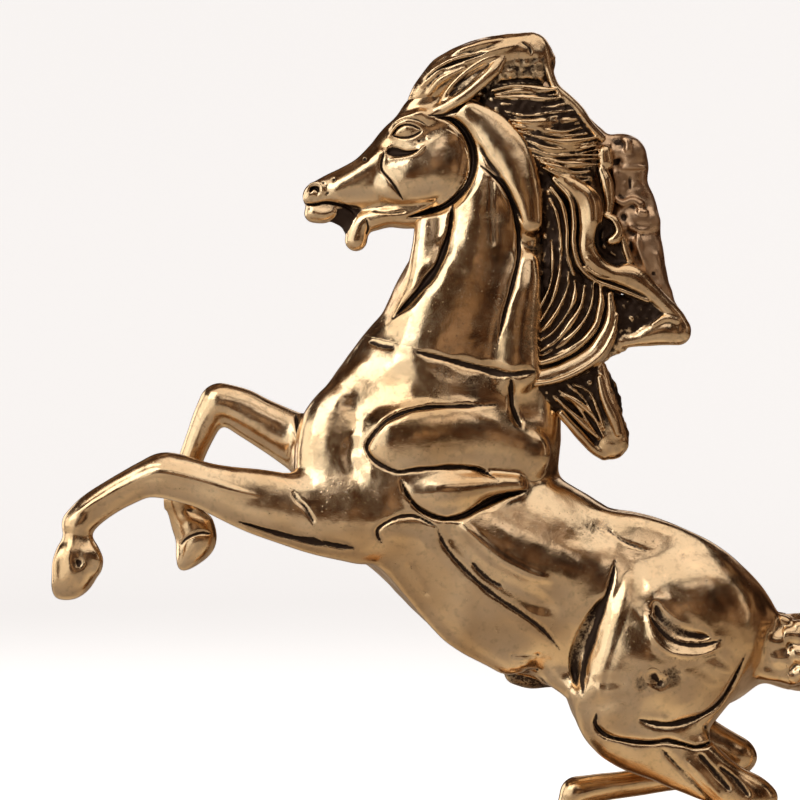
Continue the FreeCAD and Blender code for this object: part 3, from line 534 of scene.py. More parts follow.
# Marks: (side, half width, depth, darkness, path). A ridge has a negative depth; a point can carry its own
# half width.
BODY_MARKS = [
    (NEAR, 0.6, 1.3, 1, [
        (-48.6, 199.4, 0.5), (-58, 199.2), (-68, 199), (-78, 197.8), (-86.5, 194.3), (-92, 188.6),
        (-93.7, 184.5), (-90.7, 180.3), (-83.7, 176.8), (-76.7, 177.4), (-65.5, 178.2), (-55.7, 177.5),
        (-48, 173.3, 0.5),
    ]),
    (NEAR, 0.9, 2.2, 1, [
        (-82, 174, 0.5), (-79.5, 168.4, 0.6), (-75, 163.5, 0.6), (-68, 160.7, 0.7), (-61, 161.4, 0.8),
        (-53, 165.6, 1.3), (-46, 168.4, 1.5), (-39, 169.8, 0.9),
    ]),
    (NEAR, 0.6, 1.2, 0.9, [(-88.6, 152), (-90, 156.6), (-84, 160.7), (-77, 161.4), (-70, 158)]),
    (NEAR, 4.4, 1, 0.14, [(-104, 201), (-98.6, 198.4), (-93, 196.4)]),
    (NEAR, 4.8, 0.9, 0.14, [(-97, 190), (-98.4, 182), (-94, 172)]),
    (NEAR, 2.2, -0.4, 0, [(-98, 184), (-95, 178), (-90.6, 174)]),
    (NEAR, 0.9, 0.9, 0.75, [
        (-70, 158), (-67, 151.6), (-62.7, 146), (-55.7, 139), (-48.7, 133.4), (-40.3, 127.8), (-33, 122),
        (-27, 115),
    ]),
    (NEAR, 6, 1.7, 0, [(-69, 160), (-60, 149.4), (-50, 140.6), (-39, 133.6), (-27, 128)]),
    (NEAR, 1, 0.7, 0.5, [(-58, 146), (-53, 140.6), (-47, 137)]),
    (NEAR, 3.4, -1.2, 0, [(-62, 159.6), (-51, 148.6), (-41, 142.6), (-30, 139)]),
    (NEAR, 2.2, 0.5, 0.12, [(-80, 146), (-76, 139), (-72, 133)]),
    (NEAR, 4.6, 0.9, 0.3, [(-17.6, 161), (-12.4, 157.6), (-6.6, 154)]),
    (NEAR, 0.5, 0.4, 0.5, [(-11, 157), (-5, 152.4), (3.3, 149)]),
    (BOTH, 0.8, 1.4, 1, [
        (-8, 146, 0.6), (-9.8, 138, 0.8), (-12.6, 130, 1.2), (-15.4, 121.6, 1.5), (-17.8, 114, 1.5),
        (-19.2, 107, 1.2), (-19.6, 99, 0.8),
    ]),
    (BOTH, 3.6, 2, 0.5, [
        (-12, 134, 1.6), (-17, 125, 3.2), (-20, 117, 3.8), (-21.6, 109, 3.2), (-21, 101, 2),
    ]),
    (BOTH, 3.2, -0.6, 0, [(-3, 143), (-5, 135), (-8.4, 126), (-11.8, 116), (-14, 106), (-14.4, 98)]),
    (NEAR, 3.4, 2.2, 0.4, [
        (5, 132.6, 1.6), (7, 127, 3.2), (11.6, 122.6, 3.6), (17.6, 120.6, 2.8), (25, 119.8, 1.4),
    ]),
    (NEAR, 0.8, 1.1, 1, [(3.6, 127), (7.6, 121.6), (12.4, 118.4), (17.6, 117.4), (23, 117.6), (28, 119)]),
    (NEAR, 1.5, -1.3, 0, [(1.8, 129), (4.6, 120.4), (9.4, 115.6), (15.8, 114), (22, 114.4), (28, 116.6)]),
    (NEAR, 1.1, 1.5, 0.95, [
        (-0.6, 91.9, 0.6), (4.5, 90.6, 1.2), (10, 90, 1.5), (15.5, 91, 1.2), (21, 92.8, 0.8),
        (27, 96.3, 0.7), (31, 101.4, 0.7), (34, 107.4, 0.6), (36.6, 113.4, 0.5),
    ]),
    (NEAR, 0.9, 1.9, 1, [
        (-14.6, 93.6, 1.3), (-15.2, 90, 1.2), (-11.6, 86.2, 0.9), (-4.2, 84.4, 0.8), (3.3, 83.8, 0.8),
        (9.5, 84.3, 0.8), (14.5, 83.2, 0.7), (19.5, 82, 0.7), (24.5, 83.2, 0.8), (25.8, 86.6, 0.6),
    ]),
    (NEAR, 0.8, 0.7, 0.8, [(22.8, 88.4), (23.4, 88.6)]),
    (NEAR, 1.4, 0.7, 0.25, [(7, 82), (13, 75.6), (20, 68), (26, 61)]),
    (NEAR, 1.6, 1.2, 0.5, [(20, 80), (25, 74.6), (31.6, 66.6)]),
    (NEAR, 1.2, 0.9, 0.6, [(27, 75.4), (33, 71), (38, 64.6)]),
    (NEAR, 1.4, -0.6, 0, [(16, 78), (22, 71), (29, 63.6)]),
    (NEAR, 1.8, 1.3, 1, [
        (-138, 159.4, 0.4), (-130, 157, 0.9), (-120, 154.2, 1.3), (-109, 152.1, 1.7), (-98, 150.2, 1),
    ]),
    (NEAR, 2.2, -0.7, 0, [
        (-194, 162), (-185, 167.6), (-175, 173), (-165, 176.6), (-150, 173.4), (-140, 170.4), (-130, 168),
    ]),
    (NEAR, 0.6, 0.9, 0.8, [(-119.4, 170), (-117.6, 167), (-114.6, 164), (-111.6, 158.6)]),
    (FAR, 0.8, 0.9, 0.9, [(-119, 196), (-118, 187), (-118, 177)]),
    (BOTH, 0.8, 0.6, 0.8, [(-93, 221.6), (-88, 219.8), (-84, 219.6)]),
    (BOTH, 1.3, 1.5, 1, [
        (-77, 218), (-66, 215.2, 1), (-55, 212.4, 1.5), (-45, 210.2, 1.8), (-36, 211, 1.8),
    ]),
    # Wide shallow zones of low darkness: partly patina, partly painted dark reflection on the neck's base,
    # the shoulder plate and the rear of the haunch.
    (BOTH, 4, 0.2, 0.34, [(-74, 213), (-60, 209), (-50, 206), (-44, 203)]),
    (BOTH, 3, 0.1, 0.26, [(-96, 222), (-88, 219.6), (-80, 216)]),
    (NEAR, 3, 0.2, 0.3, [(-93, 184), (-88, 178), (-80, 175)]),
    (NEAR, 3, 0.2, 0.26, [(24, 124), (31, 121), (36, 112)]),
    (NEAR, 3.4, 0.2, 0.26, [(38, 128), (43, 121), (42, 111)]),
    (NEAR, 1, 1.3, 0.95, [(-43.8, 209), (-44, 204), (-43.2, 198), (-40.4, 191.6)]),
    (NEAR, 0.9, 0.9, 0.9, [(-193.8, 146.4), (-192.6, 145.2), (-193, 143.8)]),
    (NEAR, 3, 0.3, 0.3, [(-196.4, 149.4), (-193, 146), (-194, 141)]),
    (NEAR, 2.6, 0.3, 0.36, [(-195, 156), (-191.6, 153), (-188.4, 149.6)]),
    (BOTH, 0.6, 0.7, 0.8, [(-159.8, 150), (-157, 152.8), (-152.4, 154.4), (-149, 154)]),
    (BOTH, 1.2, 0.4, 0.5, [(-158, 162.6), (-153, 161.4), (-149.4, 159)]),
]
FAR_BODY_MARKS = [
    (FAR, 0.7, 1.3, 0.9, [
        (-46, 199), (-58, 201), (-74, 200), (-84, 197), (-91, 191), (-92, 184), (-86, 178), (-76, 177),
        (-62, 178), (-50, 175),
    ]),
    (FAR, 0.9, 1.7, 0.9, [(-81, 174), (-77, 165), (-68, 161), (-56, 162.5), (-46, 167), (-39, 170)]),
    (FAR, 1, 1, 0.8, [(-73, 158), (-62, 145), (-50, 134), (-38, 126), (-28, 118)]),
    (FAR, 1, 1.2, 0.85, [(2, 92), (12, 90.6), (24, 95), (31, 103), (35, 112)]),
    (FAR, 2.8, 2, 0.3, [(6, 133), (7, 126), (12, 121.6), (18, 119.6), (26, 120)]),
    (FAR, 0.9, 1.2, 0.9, [(7, 124), (12, 120), (18, 118), (27, 119.5)]),
    (FAR, 0.9, 1.5, 0.9, [(-13, 95), (-12, 90), (-4, 87), (8, 86), (18, 88), (27, 90)]),
]
JOWL_GAP = (BOTH, 2, 3.2, 1, [
    (-70, 299.4, 0.9), (-64.6, 298.9, 1.3), (-60.4, 295.4, 1.5), (-57.4, 289.5, 1.7), (-56.8, 283, 1.8),
    (-58.6, 276.8, 1.6), (-62.8, 271.6, 1.4), (-68, 268.2, 1.3), (-74, 266.4, 1.2), (-80, 264.8, 0.7),
])
NECK_MARKS = [
    (BOTH, 1.4, 2, 1, [
        (-64, 270, 0.6), (-64.8, 262, 0.9), (-66.4, 255, 1.3), (-69.6, 247, 1.7), (-75, 240, 1.6),
        (-80.4, 234, 1), (-84.6, 229.6, 0.4),
    ]),
    (BOTH, 0.8, 1.3, 0.85, [
        (-55, 283, 1.2), (-50.6, 279.6), (-46.4, 275.4), (-43, 268), (-41.4, 260), (-41.2, 251),
        (-43.4, 241), (-46.2, 231), (-48.4, 221, 0.4),
    ]),
    (BOTH, 1, 1, 0.5, [(-55, 290, 1.4), (-51, 283), (-46.6, 277), (-43, 270), (-39.6, 262, 0.6)]),
    (BOTH, 1.6, 0.5, 0.15, [(-50.6, 280), (-50.4, 268), (-49.8, 254)]),
    (BOTH, 1.2, 0.4, 0.4, [(-41, 258.6), (-38.6, 254.6), (-34.6, 254.4), (-32, 259)]),
    # Wide shallow zones of low darkness on the neck: partly patina, partly painted dark reflection.
    (BOTH, 2.6, 0.1, 0.3, [(-42, 262), (-40, 252), (-38, 246)]),
    (BOTH, 3, 0.6, 0.6, [(-36, 292), (-31, 280), (-30.6, 268), (-31, 256), (-32, 244), (-35, 232)]),
    (BOTH, 5.4, 0.4, 0.5, [(-31, 262), (-32, 248), (-34, 234), (-37, 222), (-40, 214)]),
    (BOTH, 3, 0.1, 0.3, [(-48, 244), (-50, 232), (-52, 220)]),
    JOWL_GAP,
]
HEAD_MARKS = [
    JOWL_GAP,
    (BOTH, 1.4, 1.9, 1, [
        (-87.4, 287.6, 1.7), (-84.6, 287.7, 2.1), (-81, 287.1, 1.5), (-78.2, 287.3, 1),
        (-75.6, 288.2, 0.4),
    ]),
    (BOTH, 0.5, 0.8, 1, [(-87.6, 288), (-88.7, 284), (-88.4, 281), (-85, 276.8), (-81.2, 270.8)]),
    (BOTH, 0.7, -0.6, 0, [(-86.6, 284.8), (-80.6, 285.4), (-76.4, 287), (-73, 290)]),
    (BOTH, 0.45, 0.6, 0.85, [(-85, 293.4), (-82.4, 296.4), (-78.6, 296.8), (-75, 295.2)]),
    (BOTH, 0.45, 0.6, 0.85, [(-84.8, 293.2), (-81, 292.4), (-77.6, 293), (-74.6, 294.8)]),
    (BOTH, 0.35, 0.35, 0.4, [(-84, 297.6), (-80, 299), (-76, 298.4), (-72.6, 296.4)]),
    (BOTH, 1.2, 0.5, 0.25, [(-77, 290.6), (-72.6, 292.4)]),
    (BOTH, 0.8, 1.3, 1, [(-113.8, 273.2), (-112.9, 275), (-111.2, 275), (-111, 273.6)]),
    (BOTH, 0.6, -0.5, 0, [(-115, 273.6), (-113.4, 276.6), (-110.4, 276.8), (-109.4, 274.2), (-111, 271.9)]),
    (BOTH, 0.5, 0.6, 0.9, [(-109.4, 276.8), (-108.6, 277)]),
    (BOTH, 0.5, 0.6, 0.9, [(-107.8, 273.6), (-107.2, 273)]),
    (BOTH, 0.4, 0.5, 0.9, [(-105.6, 278.4), (-105, 277.8)]),
    (BOTH, 0.8, 0.6, 0.7, [(-95, 284.6), (-94, 285.6)]),
    (BOTH, 0.5, 1, 1, [
        (-116, 269.7), (-112, 269.5), (-108.4, 270.1), (-104, 269.6), (-100, 268.2), (-97.4, 265.4),
    ]),
    (BOTH, 0.4, 0.6, 0.7, [(-94, 264.4), (-93.4, 261.6), (-94, 259)]),
    (BOTH, 0.4, 0.4, 0.6, [(-92, 267.2), (-86, 266.4), (-80, 266.8)]),
    (BOTH, 2.4, 0.2, 0.34, [(-114, 276), (-108, 277), (-103, 276)]),
    (BOTH, 2.2, 0.2, 0.36, [(-74, 291), (-70, 294), (-65, 295.4)]),
]
EAR_MARKS = [
    (BOTH, 1.6, 0.7, 0.3, [(-65.6, 306.6), (-61, 310.6), (-55.6, 314.8), (-51, 318)]),
    (BOTH, 0.5, 0.6, 0.7, [(-64, 309.6), (-59, 313.4), (-54, 316.8)]),
    (BOTH, 0.4, 0.4, 0.6, [(-64, 306.4), (-58, 310.8), (-52, 315.8)]),
    (BOTH, 0.8, 0.9, 0.95, [(-72, 300), (-66, 300.6), (-60, 303.6), (-54, 308), (-47.6, 314.6)]),
]


def press_all(clay, forms):
    for side, blend, stations in forms:
        for facing in SIDES[side]:
            clay.press(stations, facing, blend)


def finish_skin(clay):
    """The same hand-finished skin on the torso, neck and legs, so that it runs on across the seams."""
    clay.soften(1.2, 2)
    clay.ripple(26, 0.16, 3)
    clay.ripple(9, 0.04, 1)


def mark_all(clay, marks):
    for side, width, depth, dark, path in marks:
        for facing in SIDES[side]:
            clay.carve(path, width, depth, dark, facing)


# ----------------------------------------------------------------------------------------------------
# Seams between the castings: each is a plane through a point, facing the way of its normal
# ----------------------------------------------------------------------------------------------------

SEAM_LAP = 1.2  # the torso runs on this far under its neighbours, so that no gap shows


def plane(px, pz, nx, nz):
    """The region behind a plane through (px, pz) that faces the way of (nx, nz)."""
    length = math.hypot(nx, nz)
    return lambda x, y, z: ((x - px) * nx + (z - pz) * nz) / length


def both(*regions):
    """Where two regions overlap."""
    return lambda x, y, z: np.maximum(*(region(x, y, z) + 0 * (x + y + z) for region in regions))


def side_half(side):
    return lambda x, y, z: -side * y + 0 * x


def outside(region):
    """All but the region, and a lap of it."""
    return lambda x, y, z: -region(x, y, z) - SEAM_LAP


ABOVE_NECK_SEAM = plane(-61.5, 214.8, -0.245, -0.97)
NEAR_FORE_REGION = both(plane(-114, 162, 22, 14), side_half(-1))
FAR_FORE_REGION = both(plane(-117, 186, 0.95, -0.3), side_half(1))
NEAR_HIND_REGION = both(plane(5, 84.6, 0.1, 1), side_half(-1))
FAR_HIND_REGION = both(plane(5, 87, 0.0, 1), side_half(1))
TAIL_REGION = plane(51, 114, -1, -0.12)
ABOVE_BASE = plane(0, 13.5, 0, -1)
PLUG_AT = (4.2, 107.0)
PLUG_RADIUS = 3.5
PLUG_INNER = 16  # how far out of the middle a plug begins
PATCH_AT = (-39.2, 110.6)
PATCH_HALF = (4.6, 2.9)


def plug_region(side):
    def region(x, y, z):
        round_part = np.sqrt((x - PLUG_AT[0]) ** 2 + (z - PLUG_AT[1]) ** 2) - PLUG_RADIUS
        return np.maximum(round_part, PLUG_INNER - y * side)

    return region


def patch_region(x, y, z):
    """The oblong patch on the belly's near side."""
    along = np.abs(x - PATCH_AT[0]) - PATCH_HALF[0]
    up = np.abs(z - PATCH_AT[1]) - PATCH_HALF[1]
    return np.maximum(np.maximum(along, up), y + 8)


def head_region(x, y, z):
    """The head: the round jowl, what lies in front of the throat, and what lies above the poll."""
    jowl = np.sqrt((x + 71) ** 2 + (z - 282.6) ** 2) - 13.8
    throat = np.maximum(plane(-66, 270.5, 10, -12)(x, y, z), x + 66)
    poll = plane(-62.5, 299.5, 1, -1)(x, y, z)
    return np.minimum(np.minimum(jowl, throat), poll) + 0 * y


def circle(cx, cz, radius, count=16):
    turns = np.linspace(0, 2 * math.pi, count + 1)
    return [(cx + radius * math.cos(turn), cz + radius * math.sin(turn)) for turn in turns]


# Round and across the plugs: (half width, depth, darkness, path)
PLUG_MARKS = [
    (0.3, 0.2, 0.3, circle(*PLUG_AT, PLUG_RADIUS)),
    (1.3, 0.9, 1, [(4.6, 107), (6.6, 104.4)]),
    (4.6, 0.9, 0.52, [(1, 104.8), (5.4, 105), (11, 107.2)]),
    (0.8, -0.5, 0, [(3, 103.6), (4.4, 102.6)]),
    (0.8, -0.5, 0, [(7, 107.6), (8.6, 106.6)]),
]
PATCH_CORNERS = [(-43.8, 113.5), (-34.6, 113.5), (-34.6, 107.7), (-43.8, 107.7), (-43.8, 113.5)]


def plug_marks(clay):
    for side in (-1, 1):
        for width, depth, dark, path in PLUG_MARKS:
            clay.carve(path, width, depth, dark, side, taper=False, reach=14)
    for edge in zip(PATCH_CORNERS, PATCH_CORNERS[1:]):
        clay.carve(edge, 0.35, 0.25, 0.4, -1, taper=False, reach=6)
    clay.carve([(-42, 110.6), (-36.5, 110.6)], 2.0, -0.8, 0.0, -1, reach=6)
    clay.carve([(-41, 111), (-37.5, 110.4)], 0.7, 0.5, 0.6, -1, reach=6)


# ----------------------------------------------------------------------------------------------------
# Pieces
# ----------------------------------------------------------------------------------------------------

POLISHED = "bronze_polished"
MATTE = "bronze_matte"
pieces = []


def finish_piece(clay, name, node, slot):
    """Makes the clay's mesh, and has it ride on the body and replace its CAD node."""
    made = clay.mesh(name)
    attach(made, "root")
    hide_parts(node)
    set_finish(made, slot)
    pieces.append(made)


TAIL_ROOT = [(40, 114.4, 9.8, 9), (48, 113.8, 11.4, 9.6), (58, 112.8, 13.4, 10.8), (66, 114, 11, 10)]
DOCK_KNOBS = [
    (45, 122.6, 3, 4, 6), (51, 124.4, 2.6, 4, 6), (48, 117.4, 3.4, 3, 9.4), (54, 119.6, 3.2, 3, 9.4),
    (50, 111.6, 3.6, 3, 9.6), (45.6, 106.6, 3, 3, 8.4), (52.6, 105.6, 3.2, 3, 8.4),
    (57, 113, 3.4, 3, 10.2), (58, 107, 2.8, 3, 9), (57.4, 122, 3, 3, 8.4),
]


def press_dock(clay):
    """The fleshy root of the tail, knobbly on both sides."""
    clay.press(TAIL_ROOT, 0, 4)
    for x, z, half, width, away in DOCK_KNOBS:
        for side in (-1, 1):
            clay.press([(x - 1.4, z, half, width, away), (x + 1.4, z - 0.6, half, width, away)], side, 1.2)


clay = Clay((-124, -34, 78), (60, 34, 228), voxel=0.62)
for forms in (BODY, NECK, NEAR_ARM, FAR_ARM, NEAR_THIGH, FAR_THIGH):
    press_all(clay, forms)
press_dock(clay)
clay.press(SHEATH, 0, 2.5, dark=0.7)
finish_skin(clay)
mark_all(clay, BODY_MARKS)
mark_all(clay, FAR_BODY_MARKS)
mark_all(clay, NECK_MARKS)
plug_marks(clay)
uncut = clay.field.copy()  # the plugs and the patch are cut out of the torso's own skin
for region in (
    ABOVE_NECK_SEAM, NEAR_FORE_REGION, FAR_FORE_REGION, NEAR_HIND_REGION, FAR_HIND_REGION, TAIL_REGION,
    plug_region(-1), plug_region(1), patch_region,
):
    clay.cut(outside(region))
finish_piece(clay, "torso", "torso_casting", POLISHED)
for name, node, region in (
    ("near_plug", "near_haunch_plug", plug_region(-1)),
    ("far_plug", "far_haunch_plug", plug_region(1)),
    ("belly_patch", "belly_plug", patch_region),
):
    clay.field = uncut.copy()
    clay.cut(region)
    finish_piece(clay, name, node, POLISHED)

clay = Clay((-100, -24, 202), (-14, 24, 310), voxel=0.45)
for forms in (BODY, NECK, SKULL):
    press_all(clay, forms)
finish_skin(clay)
mark_all(clay, BODY_MARKS)
mark_all(clay, NECK_MARKS)
clay.cut(ABOVE_NECK_SEAM)
clay.cut(outside(head_region))
finish_piece(clay, "neck", "head_and_neck_casting", POLISHED)

clay = Clay((-121, -14, 250), (-42, 14, 324), voxel=0.3)
for forms in (NECK_CORE, SKULL, FACE):
    press_all(clay, forms)
clay.soften(0.5, 2)
press_all(clay, EYE)
clay.press(MOUTH, 0, 0.6, dark=1.0)
press_all(clay, EARS)
clay.soften(0.3)
clay.ripple(15, 0.09, 7)
mark_all(clay, HEAD_MARKS)
mark_all(clay, EAR_MARKS)
clay.cut(head_region)
finish_piece(clay, "head", "head_and_neck_casting", POLISHED)

for name, low, high, forms, region in (
    ("near_foreleg", (-208, -25, 126), (-98, 0.8, 186), NEAR_FORE, NEAR_FORE_REGION),
    ("far_foreleg", (-166, -0.8, 136), (-98, 25, 212), FAR_FORE, FAR_FORE_REGION),
    ("near_hindleg", (-24, -27, 11), (52, 0.8, 94), NEAR_HIND, both(NEAR_HIND_REGION, ABOVE_BASE)),
    ("far_hindleg", (-36, -0.8, 30), (46, 27, 94), FAR_HIND, FAR_HIND_REGION),
):
    clay = Clay(low, high, voxel=0.4)
    press_all(clay, BODY)
    press_all(clay, forms)
    finish_skin(clay)
    mark_all(clay, BODY_MARKS)
    mark_all(clay, FAR_BODY_MARKS)
    clay.cut(region)
    finish_piece(clay, name, name + "_casting", POLISHED)

# Tail: locks wound round one another, from the dock down to the base
TAIL_LINE = [
    (44, 116), (52, 115), (60, 114.6), (72, 115.2), (86, 110.6), (96.5, 99.5), (101.5, 84), (100.8, 66),
    (95.6, 48), (87.6, 31), (80.5, 18),
]
TAIL_HALF = [9.5, 11.4, 13.2, 13, 12.6, 12.4, 11.8, 10.8, 9.2, 7.6, 5.4]
TAIL_LOCKS = 5
clay = Clay((38, -17, 11), (118, 17, 132), voxel=0.5)
press_all(clay, BODY)
core = [(x, z, width * 0.8, width * 0.75) for (x, z), width in zip(TAIL_LINE, TAIL_HALF)]
clay.press(core, 0, 3, strands=5, groove=0.8)
press_dock(clay)
for k in range(TAIL_LOCKS):
    turn = k * 2 * math.pi / TAIL_LOCKS + 0.4
    lock = []
    for i, ((x, z), half_tail) in enumerate(zip(TAIL_LINE, TAIL_HALF)):
        before = np.array(TAIL_LINE[max(i - 1, 0)])
        after = np.array(TAIL_LINE[min(i + 1, len(TAIL_LINE) - 1)])
        along = (after - before) / np.linalg.norm(after - before)
        angle = turn + 0.28 * i
        half_tail = half_tail * (0.7 if i < 2 else 1.0)
        out = 0.5 * half_tail * math.cos(angle)
        away = 0.5 * half_tail * math.sin(angle)
        lock.append((x - along[1] * out, z + along[0] * out, 0.5 * half_tail, 0.46 * half_tail, away))
    clay.press(lock, 1, 1.0, strands=3, groove=0.7, twist=0.3)
clay.ripple(7, 0.25, 4, ((38, -17, 96), (64, 17, 132)))
clay.cut(TAIL_REGION)
clay.cut(ABOVE_BASE)
finish_piece(clay, "tail", "tail_casting", POLISHED)

# ----------------------------------------------------------------------------------------------------
# Mane
# ----------------------------------------------------------------------------------------------------

# The thin sheets under the locks: (blend, darkness, stations) here, (blend, stations) on the far side
NEAR_SLABS = [
    (2, 0.5, [(-62, 311, 5.5, 4, 3), (-50, 316.6, 9, 5, 4), (-40, 318.4, 9, 5, 4), (-36, 319, 8, 4.6, 4)]),
    (3, 0.95, [
        (-46, 304, 8, 4.6, 5), (-36, 301, 10, 5, 5), (-28, 296, 10, 4.4, 4.6), (-22, 291, 8, 3.6, 4),
    ]),
    (3, 0.95, [(-36, 288, 8, 5, 6), (-27, 284, 8, 4.4, 5), (-21, 280, 6.6, 4, 4.2)]),
    (3, 0.95, [(-30, 272, 6, 4, 6), (-27, 255, 6, 4, 6), (-28, 238, 8, 4, 7), (-32, 222, 9, 4.4, 8)]),
    (3, 0.95, [(-16, 262, 5, 3, 3), (-15, 250, 6, 3, 3), (-18, 234, 10, 4, 4.6), (-24, 222, 9, 4.4, 5.6)]),
    # the sheet behind the gap in the S-lock, darkened as painted shade where it shows through the gap
    (2, 0.95, [(-10, 261, 4, 2.6, 2.4), (-9, 252, 5, 2.6, 2.4), (-4, 247, 4, 2.6, 2.4)]),
    (3, 0.9, [
        (-34, 208, 7, 5, 7.6), (-24, 203.6, 7.6, 4.4, 4.8), (-16.6, 199, 8.2, 4.2, 3.4),
        (-10.2, 191, 7, 4.2, 3), (-9, 187.6, 6.6, 4, 3),
    ]),
    (3, 0.9, [(-20, 211, 6, 4.4, 5), (-14.4, 207, 6.4, 4.2, 4), (-11.4, 200, 6.4, 4.2, 3)]),
    (2, 0.95, [(-10, 232, 6.4, 3, 2.8), (0, 231, 6.8, 3, 2.6), (7, 230.6, 5, 2.6, 2.4)]),
    (2, 0.4, [(-12, 219.6, 4.6, 3, 2.8), (-6.6, 221.6, 4, 3, 2.6), (-3, 224, 3.4, 2.6, 2.4)]),
]
